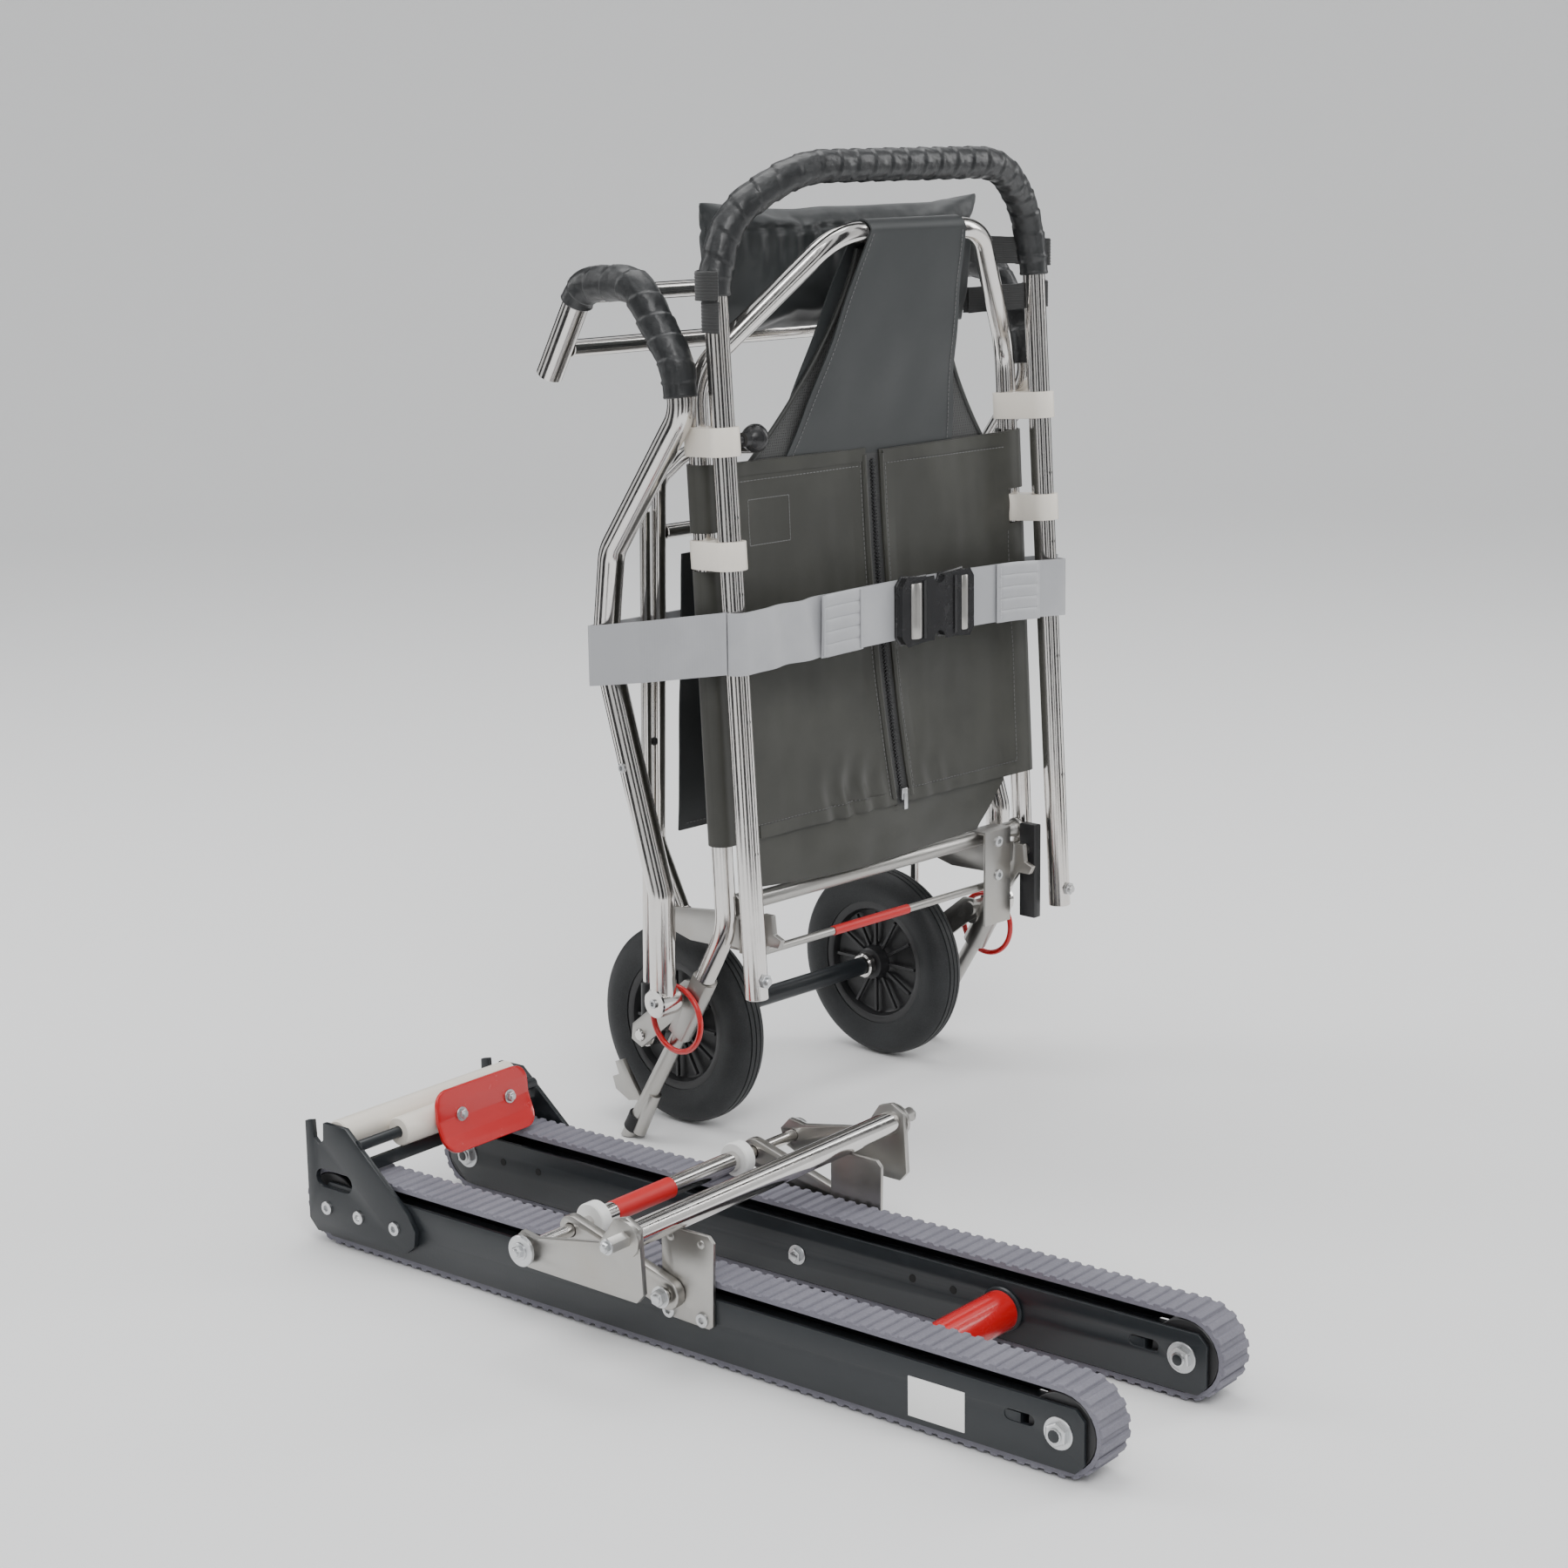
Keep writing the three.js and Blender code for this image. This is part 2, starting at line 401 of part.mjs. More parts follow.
// ---- carriage: plates on the beams, link arms, cranks and the tube that joins them ----
const capsule = (a, b, ra, rb) => {
  const across = Math.atan2(b.z - a.z, b.y - a.y) + Math.PI / 2, n = 8;
  const arc = (c, r, from) => Array.from({ length: n + 1 }, (_, i) => new THREE.Vector2(
    c.y + r * Math.cos(from + Math.PI * i / n), c.z + r * Math.sin(from + Math.PI * i / n)));
  return [...arc(a, ra, across), ...arc(b, rb, across + Math.PI)];
};
const crank = [[-40, 132], [-27, 139], [-14, 135], [2, 112], [70, 100], [86, 102.5], [96, 92],
  [92, 78], [80, 73], [-36, 71], [-43, 79]];
for (const [side, s] of sides) {
  const at = (a, b) => [s * a, s * b].sort((p, q) => p - q);
  onTrack(`guide_plate_${side}`, fuse(slab([[-60, 36], [-56, 33], [-8, 35], [-8, 107], [-14, 111.3],
    [-57, 111.3], [-62, 106]], ...at(beam.outer + gap, beam.outer + 4)),
  bar(...at(beam.outer + 2, beam.outer + 20), linkPivot.y, linkPivot.z, 5, 12)), colours.satin);
  onTrack(`link_arm_${side}`, slab(capsule(linkPivot, rodAxis, 13, 12), ...at(beam.outer + 5,
    beam.outer + 14), [circle(around(5), 12, linkPivot.y, linkPivot.z),
    circle(around(5.5), 12, rodAxis.y, rodAxis.z)]), colours.satin);
  onTrack(`crank_${side}`, fuse(slab(crank, ...at(168, 173), [circle(5.5 + gap, 12, rodAxis.y,
    rodAxis.z)]), bar(...at(172, 176), hub.y, hub.z, 15, 20), bar(...at(172, 195), hub.y, hub.z, 7, 6)),
  colours.satin);
}
onTrack('lock_rod', fuse(bar(-180, 180, rodAxis.y, rodAxis.z, 5.5, 12),
  ...sides.map(([, s]) => bar(...[s * 86, s * 98].sort((a, b) => a - b), rodAxis.y, rodAxis.z, 15.4, 20)),
  ...sides.map(([, s]) => bar(...[s * 176, s * 180].sort((a, b) => a - b), rodAxis.y, rodAxis.z, 13, 20))),
colours.steel);
onTrack('carriage_tube', bar(-167.7, 167.7, hub.y, hub.z, 10.5, 20), colours.steel);

export default group;
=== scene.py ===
import json
import math

import bmesh
import bpy
import numpy as np
from mathutils import Matrix, Vector
from mathutils.noise import noise as noiseAt

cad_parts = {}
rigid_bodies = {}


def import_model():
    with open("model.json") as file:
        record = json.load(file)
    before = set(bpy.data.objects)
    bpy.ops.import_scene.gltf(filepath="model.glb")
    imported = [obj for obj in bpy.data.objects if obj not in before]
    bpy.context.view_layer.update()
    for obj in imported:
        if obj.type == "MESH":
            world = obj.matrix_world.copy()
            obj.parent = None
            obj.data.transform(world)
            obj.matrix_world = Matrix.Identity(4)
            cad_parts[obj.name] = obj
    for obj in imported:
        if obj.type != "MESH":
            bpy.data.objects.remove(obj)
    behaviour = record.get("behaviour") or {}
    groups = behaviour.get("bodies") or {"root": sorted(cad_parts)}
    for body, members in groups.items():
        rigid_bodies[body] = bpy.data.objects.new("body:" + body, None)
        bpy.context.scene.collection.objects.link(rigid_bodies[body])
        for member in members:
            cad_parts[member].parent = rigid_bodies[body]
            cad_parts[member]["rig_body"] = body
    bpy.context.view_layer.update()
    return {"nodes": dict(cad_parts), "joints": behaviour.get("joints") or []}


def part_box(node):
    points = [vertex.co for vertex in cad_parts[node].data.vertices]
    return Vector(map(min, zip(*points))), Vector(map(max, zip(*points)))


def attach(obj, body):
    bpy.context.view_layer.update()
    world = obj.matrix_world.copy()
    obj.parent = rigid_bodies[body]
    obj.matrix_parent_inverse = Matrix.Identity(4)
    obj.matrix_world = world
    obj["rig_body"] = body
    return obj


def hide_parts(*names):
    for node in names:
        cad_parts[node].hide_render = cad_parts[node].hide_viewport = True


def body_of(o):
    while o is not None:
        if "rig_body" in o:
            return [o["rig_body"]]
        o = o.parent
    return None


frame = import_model()
print("frame loaded:", len(frame["nodes"]), "nodes")

mm = 0.001
sidePairs = (("left", -1), ("right", 1))
trackBodies = ("track_unit", "roller", "lever", "links", "cranks")


# the chair's own frame: wheels' middle at x = 0 and y = 0, millimetres, floor at z = 0
def chairFrame():
    middle = (Vector(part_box("tyre_left")[0]) + Vector(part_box("tyre_right")[1])) / 2
    return Matrix.Translation((middle.x, middle.y, 0)) @ Matrix.Scale(mm, 4)


# the track unit's own frame: middle of its four pulleys, turned with its roller
def trackFrame():
    joints = {j["name"]: j for j in frame["joints"]}
    ends = [Vector(joints[f"pulley_{end}_{side}_spin"]["pos_m"])
            for end in ("front", "rear") for side in ("left", "right")]
    middle = sum(ends, Vector()) / len(ends)
    across = joints["roller_spin"]["axis"]
    turn = Matrix.Rotation(math.atan2(across[1], across[0]), 4, "Z")
    return Matrix.Translation((middle.x, middle.y, 0)) @ turn @ Matrix.Scale(mm, 4)


chair = chairFrame()
track = trackFrame()


def placeOf(body):
    return track if body in trackBodies or body.startswith("pulley") else chair


# points and faces gathered in millimetres
class Shape:
    def __init__(self, points=(), faces=()):
        self.points = [tuple(p) for p in points]
        self.faces = [list(f) for f in faces]

    def add(self, other):
        start = len(self.points)
        self.points += other.points
        self.faces += [[i + start for i in f] for f in other.faces]
        return self

    def moved(self, change):
        self.points = [tuple(change(Vector(p))) for p in self.points]
        return self


def bentLine(corners, bend, step=5.0):
    # straight runs joined by arcs of the given radius, a point every few degrees
    points = [Vector(c) for c in corners]
    line = [points[0].copy()]
    for i in range(1, len(points) - 1):
        into, out = points[i] - points[i - 1], points[i + 1] - points[i]
        room = min(into.length * (0.5 if i > 1 else 0.98),
                   out.length * (0.5 if i < len(points) - 2 else 0.98))
        a, b = into.normalized(), out.normalized()
        turn = a.angle(b)
        if turn < 1e-3:
            continue
        reach = min(bend * math.tan(turn / 2), room * 0.999)
        radius = reach / math.tan(turn / 2)
        side = (b - a * a.dot(b)).normalized()
        start = points[i] - a * reach
        count = max(2, math.ceil(math.degrees(turn) / step))
        for k in range(count + 1):
            t = turn * k / count
            line.append(start + a * radius * math.sin(t) + side * radius * (1 - math.cos(t)))
    line.append(points[-1].copy())
    return line


def mirroredLine(half):
    return list(half) + [(-x, y, z) for x, y, z in reversed(half)]


def lengths(line):
    at = [0.0]
    for a, b in zip(line, line[1:]):
        at.append(at[-1] + (b - a).length)
    return at


def spaced(line, spacing):
    at = lengths(line)
    count = max(2, round(at[-1] / spacing))
    out, j = [], 0
    for i in range(count + 1):
        want = at[-1] * i / count
        while j < len(at) - 2 and at[j + 1] < want:
            j += 1
        f = (want - at[j]) / max(at[j + 1] - at[j], 1e-9)
        out.append(line[j].lerp(line[j + 1], min(max(f, 0), 1)))
    return out


def onLine(line, share):
    # the point that lies that share of the steps along
    k = share * (len(line) - 1)
    i = min(int(k), len(line) - 2)
    return line[i].lerp(line[i + 1], k - i)


def stepped(start, reach, count):
    return [start + reach * k / count for k in range(count + 1)]


def ringsAlong(line):
    # two directions across the line at each point, without twist
    tangents = [(line[min(i + 1, len(line) - 1)] - line[max(i - 1, 0)]).normalized()
                for i in range(len(line))]
    first = tangents[0]
    side = first.orthogonal().normalized() if abs(first.x) > 0.9 else Vector((1, 0, 0))
    side = (side - first * side.dot(first)).normalized()
    frames = []
    for t in tangents:
        side = (side - t * side.dot(t)).normalized()
        frames.append((side.copy(), t.cross(side)))
    return frames


def closedRings(rings, loop=False):
    # faces between neighbouring rings; the ends are capped, or joined in a loop
    shape = Shape([p for ring in rings for p in ring])
    n, total = len(rings[0]), len(rings) * len(rings[0])
    for i in range(len(rings) - (0 if loop else 1)):
        for k in range(n):
            a, b = i * n + k, i * n + (k + 1) % n
            shape.faces.append([a, b, (b + n) % total, (a + n) % total])
    if not loop:
        shape.faces += [list(range(n))[::-1], list(range(total - n, total))]
    return shape


def tubeShape(line, radius, sides=36):
    # radius is a number, or a function of the distance along and the angle round
    at, frames = lengths(line), ringsAlong(line)
    reach = radius if callable(radius) else (lambda s, a: radius)

    def ring(i, size=None, shift=0.0):
        side, up = frames[i]
        along = side.cross(up)
        out = []
        for k in range(sides):
            a = 2 * math.pi * k / sides
            r = size if size is not None else reach(at[i], a)
            out.append(line[i] + (side * math.cos(a) + up * math.sin(a)) * r + along * shift)
        return out

    last = len(line) - 1
    edge = min(0.8, 0.2 * reach(0, 0))
    head = [ring(0, reach(0, 0) - edge), ring(0, None, edge)]
    tail = [ring(last, None, -edge), ring(last, reach(at[-1], 0) - edge)]
    return closedRings(head + [ring(i) for i in range(1, last)] + tail)


def turnedShape(profile, centre=(0, 0, 0), axis=(1, 0, 0), sides=48):
    # profile is (distance along the axis, radius); ends on the axis or closes on itself
    axis = Vector(axis).normalized()
    side = axis.orthogonal().normalized()
    up = axis.cross(side)
    closed = profile[0] == profile[-1]
    rings = [[Vector(centre) + axis * along + (side * math.cos(2 * math.pi * k / sides)
              + up * math.sin(2 * math.pi * k / sides)) * max(radius, 0.01)
              for k in range(sides)] for along, radius in (profile[:-1] if closed else profile)]
    return closedRings(rings, closed)


def barShape(x0, x1, y, z, radius, edge=0.6, sides=40):
    # a round bar across the chair with broken edges
    profile = [(x0, radius - edge), (x0 + edge, radius), (x1 - edge, radius), (x1, radius - edge)]
    return turnedShape(profile, (0, y, z), sides=sides)


def blockShape(low, high):
    points = [(x, y, z) for x in (low[0], high[0]) for y in (low[1], high[1]) for z in (low[2], high[2])]
    faces = [[0, 1, 3, 2], [4, 6, 7, 5], [0, 4, 5, 1], [2, 3, 7, 6], [0, 2, 6, 4], [1, 5, 7, 3]]
    return Shape(points, faces)


def gridShape(across, down, at):
    # a sheet of cells; at(u, v) gives a point for u and v from 0 to 1
    points = [at(i / across, j / down) for j in range(down + 1) for i in range(across + 1)]
    n = across + 1
    faces = [[j * n + i, j * n + i + 1, (j + 1) * n + i + 1, (j + 1) * n + i]
             for j in range(down) for i in range(across)]
    return Shape(points, faces)


def linkObject(name, mesh):
    obj = bpy.data.objects.new(name, mesh)
    bpy.context.scene.collection.objects.link(obj)
    return obj


def meshObject(name, points, faces=()):
    mesh = bpy.data.meshes.new(name)
    mesh.from_pydata(points, [], faces)
    return linkObject(name, mesh)


def bakeModifiers(obj):
    graph = bpy.context.evaluated_depsgraph_get()
    mesh = bpy.data.meshes.new_from_object(obj.evaluated_get(graph))
    obj.modifiers.clear()
    old = obj.data
    obj.data = mesh
    bpy.data.meshes.remove(old)


def breakEdges(obj, width, segments, angle):
    edge = obj.modifiers.new("edge", "BEVEL")
    edge.width = width * mm
    edge.segments = segments
    edge.limit_method = "ANGLE"
    edge.angle_limit = math.radians(angle)


def faceOutward(mesh):
    work = bmesh.new()
    work.from_mesh(mesh)
    bmesh.ops.recalc_face_normals(work, faces=work.faces)
    work.to_mesh(mesh)
    work.free()


def finish(obj, paint, body, replaces="", sharp=38):
    obj.data.materials.clear()
    obj.data.materials.append(paints[paint])
    for face in obj.data.polygons:
        face.material_index = 0
    obj.data.shade_smooth()
    obj.data.set_sharp_from_angle(angle=math.radians(sharp))
    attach(obj, body)
    if replaces:
        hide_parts(replaces)
    return obj


def piece(name, shape, paint, body="chair_frame", replaces="", bevel=0, thick=0, sharp=38):
    place = np.array(placeOf(body))
    points = np.array(shape.points, float) @ place[:3, :3].T + place[:3, 3]
    obj = meshObject(name, points.tolist(), shape.faces)
    if thick:
        wall = obj.modifiers.new("wall", "SOLIDIFY")
        wall.thickness = thick * mm
        wall.offset = 0
    if bevel:
        breakEdges(obj, bevel, 3, 35)
    if thick or bevel:
        bakeModifiers(obj)
    faceOutward(obj.data)
    return finish(obj, paint, body, replaces, sharp)


def edgedCopy(node, paint, bevel):
    # a CAD plate with its edges broken, standing for the CAD node
    source = frame["nodes"][node]
    mesh = source.data.copy()
    work = bmesh.new()
    work.from_mesh(mesh)
    bmesh.ops.remove_doubles(work, verts=work.verts, dist=0.02 * mm)
    bmesh.ops.dissolve_limit(work, angle_limit=math.radians(0.6), verts=work.verts, edges=work.edges)
    work.to_mesh(mesh)
    work.free()
    obj = linkObject(node + "_edged", mesh)
    breakEdges(obj, bevel, 2, 42)
    bakeModifiers(obj)
    return finish(obj, paint, body_of(source)[0], node)


# a shader socket that takes part in Python expressions
class Value:
    def __init__(self, paint, socket):
        self.paint, self.socket = paint, socket

    def maths(self, operation, other):
        return self.paint.node("ShaderNodeMath", {"operation": operation}, {0: self, 1: other})

    def __add__(self, other):
        return self.maths("ADD", other)

    def __sub__(self, other):
        return self.maths("SUBTRACT", other)

    def __mul__(self, other):
        return self.maths("MULTIPLY", other)

    def __rsub__(self, other):
        return self.paint.node("ShaderNodeMath", {"operation": "SUBTRACT"}, {0: other, 1: self})

    __radd__ = __add__
    __rmul__ = __mul__

    def clamped(self):
        return self.maths("MAXIMUM", 0.0).maths("MINIMUM", 1.0)


class Paint:
    def __init__(self, name, **fixed):
        self.material = bpy.data.materials.new(name)
        self.material.use_nodes = True
        self.tree = self.material.node_tree
        self.shader = self.tree.nodes["Principled BSDF"]
        for label, value in fixed.items():
            self.shader.inputs[label.replace("_", " ")].default_value = value

    def node(self, kind, settings=None, inputs=None, output=0):
        made = self.tree.nodes.new(kind)
        for label, value in (settings or {}).items():
            setattr(made, label, value)
        for label, value in (inputs or {}).items():
            if isinstance(value, Value):
                self.tree.links.new(value.socket, made.inputs[label])
            else:
                made.inputs[label].default_value = value
        return Value(self, made.outputs[output])

    def place(self, scale=(1, 1, 1)):
        spot = self.node("ShaderNodeTexCoord", output="Object")
        return self.node("ShaderNodeMapping", None, {"Vector": spot, "Scale": scale})

    def noise(self, scale, detail=3.0, rough=0.5, stretch=(1, 1, 1)):
        return self.node("ShaderNodeTexNoise", None, {"Vector": self.place(stretch), "Scale": scale,
                         "Detail": detail, "Roughness": rough})

    def ramp(self, value, low, high):
        return self.node("ShaderNodeMapRange", None, {"Value": value, "From Min": low, "From Max": high})

    def rows(self, spacing, direction="X"):
        # even ridges that many millimetres apart; the texture's own period is 2 pi / 20
        scale = 2 * math.pi / 20 / (spacing * mm)
        return self.node("ShaderNodeTexWave", {"wave_type": "BANDS", "bands_direction": direction},
                         {"Vector": self.place(), "Scale": scale}, "Fac")

    def blend(self, share, first, second):
        return self.node("ShaderNodeMix", {"data_type": "RGBA"},
                         {0: share, 6: (*first, 1.0), 7: (*second, 1.0)}, 2)

    def feed(self, label, value):
        self.tree.links.new(value.socket, self.shader.inputs[label])

    def bump(self, height, depth, strength):
        self.feed("Normal", self.node("ShaderNodeBump", None, {"Height": height, "Distance": depth * mm,
                                                               "Strength": strength}))

    def done(self, share, colours, rough, height, depth, strength):
        # varying colour, roughness and relief go in together
        self.feed("Base Color", self.blend(share, *colours))
        self.feed("Roughness", rough)
        self.bump(height, depth, strength)
        return self.material


def steelPaint(name, colour, rough, brushed, stretch=(1, 1, 1)):
    paint = Paint(name, Metallic=1.0)
    tint = paint.noise(14, 4.0, 0.6)
    fine = paint.noise(900, 2.0, 0.6, stretch)
    smear = paint.noise(45, 5.0, 0.7)
    warm = tuple(c * k for c, k in zip(colour, (0.93, 0.85, 0.74)))
    return paint.done(paint.ramp(tint, 0.5, 0.85) * 0.5, (colour, warm),
                      rough + fine * brushed + paint.ramp(smear, 0.45, 0.8) * 0.09,
                      fine, 0.02 + 0.12 * brushed, 0.35)


def coatPaint(name, colour, rough, grain, depth, light=None, coat=0.0):
    paint = Paint(name, Coat_Weight=coat, Coat_Roughness=0.08)
    mottle = paint.noise(22, 4.0, 0.6)
    skin = paint.noise(grain, 2.0, 0.5)
    dust = paint.ramp(paint.noise(60, 6.0, 0.7), 0.56, 0.8)
    light = light or tuple(c * 1.7 + 0.008 for c in colour)
    return paint.done(mottle * 0.35 + dust * 0.2, (colour, light),
                      rough + mottle * 0.12 + dust * 0.1 - 0.06, skin, depth, 0.6)


def rubberPaint(name, colour, light, rough, grain=700):
    paint = Paint(name, Specular_IOR_Level=0.35)
    speck = paint.noise(grain, 3.0, 0.7)
    dust = paint.noise(16, 5.0, 0.65)
    share = (paint.ramp(speck, 0.4, 0.75) * 0.4 + paint.ramp(dust, 0.45, 0.75) * 0.45).clamped()
    return paint.done(share, (colour, light), rough + dust * 0.2 - 0.08, speck, 0.12, 0.7)


def vinylPaint(name, colour, light, rough, thread=0.9, depth=0.05):
    # coated cloth: a fine plain weave shows through the skin
    paint = Paint(name, Sheen_Weight=0.12, Sheen_Roughness=0.4, Specular_IOR_Level=0.45)
    weave = paint.rows(thread, "X") * paint.rows(thread, "Z")
    cloud = paint.noise(9, 5.0, 0.62)
    crease = paint.noise(70, 4.0, 0.6, (1, 1, 2.2))
    share = (paint.ramp(cloud, 0.42, 0.75) * 0.6 + weave * 0.18).clamped()
    return paint.done(share, (colour, light), rough + cloud * 0.22 - 0.1, weave * 0.35 + crease * 2.2,
                      depth, 0.8)


def webbingPaint(name, colour, light, rough, thread=1.3):
    paint = Paint(name, Sheen_Weight=0.2)
    rows = paint.rows(thread, "Z")
    cross = paint.rows(thread * 0.6, "DIAGONAL")
    cloud = paint.noise(18, 4.0, 0.6)
    return paint.done((rows * 0.45 + cloud * 0.5).clamped(), (colour, light), rough + cloud * 0.2 - 0.1,
                      rows + cross * 0.5, 0.12, 0.8)


def leatherPaint(name, colour, light):
    paint = Paint(name, Coat_Weight=0.25, Coat_Roughness=0.22)
    pores = paint.node("ShaderNodeTexVoronoi", None, {"Vector": paint.place(), "Scale": 620.0}, "Distance")
    pull = paint.noise(110, 4.0, 0.6, (1, 1, 1.8))
    cloud = paint.noise(26, 4.0, 0.6)
    return paint.done(paint.ramp(cloud, 0.4, 0.8) * 0.7, (colour, light), 0.27 + pull * 0.3,
                      pull * 5.0 + pores * 0.6, 0.16, 0.75)


def meshPaint(name, colour, light):
    # open knitted mesh: round holes in rows, painted darker than the threads as painted shade seen through
    # them
    paint = Paint(name, Sheen_Weight=0.2)
    rows = paint.rows(2.6, "Z") * paint.rows(2.6, "X")
    # painted shade: the holes take the darker first colour
    holeShade = rows.maths("GREATER_THAN", 0.42)
    cloud = paint.noise(40, 3.0)
    return paint.done(holeShade, (light, colour), 0.6 + cloud * 0.2, 1 - rows, 0.35, 0.9)


paints = {
    "polished": steelPaint("polishedSteel", (0.72, 0.70, 0.68), 0.10, 0.04),
    "satin": steelPaint("satinSteel", (0.45, 0.44, 0.42), 0.26, 0.16, (1, 1, 6)),
    "zinc": steelPaint("zincPlated", (0.62, 0.63, 0.64), 0.26, 0.12),
    "beam": coatPaint("powderCoat", (0.012, 0.0145, 0.017), 0.33, 480, 0.07),
    "plastic": coatPaint("blackPlastic", (0.012, 0.012, 0.013), 0.40, 650, 0.06),
    "gloss": coatPaint("blackMoulding", (0.014, 0.014, 0.015), 0.26, 300, 0.03),
    "red": coatPaint("redEnamel", (0.50, 0.004, 0.007), 0.24, 260, 0.03, (0.58, 0.018, 0.018), 0.5),
    "mark": coatPaint("redMark", (0.48, 0.006, 0.008), 0.42, 700, 0.02, (0.56, 0.02, 0.02)),
    "ivory": coatPaint("ivoryNylon", (0.74, 0.69, 0.61), 0.36, 420, 0.05, (0.82, 0.79, 0.73)),
    "nylon": coatPaint("whiteNylon", (0.74, 0.74, 0.72), 0.30, 420, 0.05, (0.82, 0.82, 0.81)),
    "label": coatPaint("plainLabel", (0.80, 0.80, 0.79), 0.34, 900, 0.01, (0.84, 0.84, 0.83)),
    # painted shade: near-black paint for the discs and plugs that stand in for the shade inside holes and
    # open tube ends
    "paintedShade": coatPaint("paintedHoleShade", (0.004, 0.004, 0.004), 0.8, 500, 0.02),
    "tyre": rubberPaint("tyreRubber", (0.013, 0.014, 0.015), (0.040, 0.042, 0.044), 0.50),
    "belt": rubberPaint("beltRubber", (0.150, 0.146, 0.176), (0.235, 0.230, 0.265), 0.62, 620),
    "rubber": rubberPaint("plainRubber", (0.010, 0.010, 0.011), (0.025, 0.025, 0.026), 0.55),
    "grip": leatherPaint("gripWrap", (0.010, 0.011, 0.012), (0.030, 0.032, 0.033)),
    "cloth": vinylPaint("panelCloth", (0.035, 0.035, 0.030), (0.060, 0.060, 0.051), 0.38),
    "flap": vinylPaint("flapCloth", (0.022, 0.025, 0.026), (0.040, 0.043, 0.044), 0.44),
    "hem": vinylPaint("hemCloth", (0.020, 0.021, 0.020), (0.038, 0.039, 0.036), 0.46),
    "pad": vinylPaint("padCloth", (0.028, 0.031, 0.032), (0.058, 0.062, 0.063), 0.40),
    # meshCloth: the first colour is the painted shade in the holes, the second the threads
    "mesh": meshPaint("meshCloth", (0.006, 0.006, 0.006), (0.040, 0.041, 0.040)),
    "elastic": webbingPaint("elasticBand", (0.012, 0.012, 0.012), (0.040, 0.041, 0.041), 0.7, 1.6),
    "strap": vinylPaint("strapCloth", (0.34, 0.345, 0.36), (0.46, 0.465, 0.48), 0.36, 0.7, 0.03),
    "thread": webbingPaint("sewnThread", (0.10, 0.10, 0.10), (0.2, 0.2, 0.2), 0.6),
    "paleThread": webbingPaint("paleThread", (0.5, 0.5, 0.52), (0.7, 0.7, 0.72), 0.6),
}
print("paints made:", len(paints))


# one Geometry Nodes tree sets a template on every point, for all that repeats
def copiesTree():
    tree = bpy.data.node_groups.new("placeCopies", "GeometryNodeTree")
    sockets = (("Geometry", "Geometry"), ("Template", "Object"), ("Size", "Float"),
               ("Turn Jitter", "Float"), ("Material", "Material"))
    for label, kind in sockets:
        tree.interface.new_socket(label, in_out="INPUT", socket_type="NodeSocket" + kind)
    tree.interface.new_socket("Geometry", in_out="OUTPUT", socket_type="NodeSocketGeometry")

    def node(kind, inputs=None, output=0, **settings):
        made = tree.nodes.new(kind)
        for label, value in settings.items():
            setattr(made, label, value)
        for label, value in (inputs or {}).items():
            if isinstance(value, bpy.types.NodeSocket):
                tree.links.new(value, made.inputs[label])
            else:
                made.inputs[label].default_value = value
        return made.outputs[output] if made.outputs else made

    given = tree.nodes.new("NodeGroupInput").outputs
    shape = node("GeometryNodeObjectInfo", {"Object": given["Template"]}, "Geometry")
    facing, along = (node("GeometryNodeInputNamedAttribute", {"Name": label}, data_type="FLOAT_VECTOR")
                     for label in ("facing", "along"))
    axes = node("FunctionNodeAxesToRotation", {0: facing, 1: along}, primary_axis="Z", secondary_axis="X")
    least = node("ShaderNodeMath", {0: given["Turn Jitter"], 1: -1.0}, operation="MULTIPLY")
    spin = node("FunctionNodeRandomValue", {2: least, 3: given["Turn Jitter"], "Seed": 7}, 1,
                data_type="FLOAT")
    euler = node("ShaderNodeCombineXYZ", {2: spin})
    turn = node("FunctionNodeRotateRotation", {0: axes, 1: euler}, rotation_space="LOCAL")
    copied = node("GeometryNodeInstanceOnPoints", {"Points": given["Geometry"], "Instance": shape,
                                                   "Rotation": turn, "Scale": given["Size"]})
    real = node("GeometryNodeRealizeInstances", {0: copied})
    node("NodeGroupOutput", {0: node("GeometryNodeSetMaterial",
                                     {"Geometry": real, "Material": given["Material"]})})
    return tree


def setInputs(modifier, values):
    for item in modifier.node_group.interface.items_tree:
        if item.item_type == "SOCKET" and item.in_out == "INPUT" and item.name in values:
            modifier[item.identifier] = values[item.name]


placeCopies = copiesTree()
templates = []


def template(name, shape, bevel=0.0):
    # a small mesh in metres about its own origin, kept only while copies are made
    obj = meshObject(name, [Vector(p) * mm for p in shape.points], shape.faces)
    if bevel:
        breakEdges(obj, bevel, 1, 30)
        bakeModifiers(obj)
    faceOutward(obj.data)
    obj.data.shade_smooth()
    obj.data.set_sharp_from_angle(angle=math.radians(35))
    templates.append(obj)
    return obj


def copies(name, shape, spots, paint, body="chair_frame", size=1.0, jitter=0.0):
    # spots are (point, facing, along) in the millimetres of the body's object
    place = placeOf(body)
    turn = place.to_3x3().normalized()
    obj = meshObject(name, [place @ Vector(s[0]) for s in spots])
    for label, k in (("facing", 1), ("along", 2)):
        data = obj.data.attributes.new(label, "FLOAT_VECTOR", "POINT")
        for i, s in enumerate(spots):
            data.data[i].vector = turn @ Vector(s[k]).normalized()
    modifier = obj.modifiers.new("copies", "NODES")
    modifier.node_group = placeCopies
    setInputs(modifier, {"Template": hardware[shape], "Size": size, "Turn Jitter": jitter,
                         "Material": paints[paint]})
    bakeModifiers(obj)
    return finish(obj, paint, body, "", 35)


def upright(profile, sides):
    return turnedShape(profile, axis=(0, 0, 1), sides=sides)


def discShape(radius, height, edge, sides=28):
    return upright([(0, radius), (height - edge, radius), (height, radius - edge)], sides)


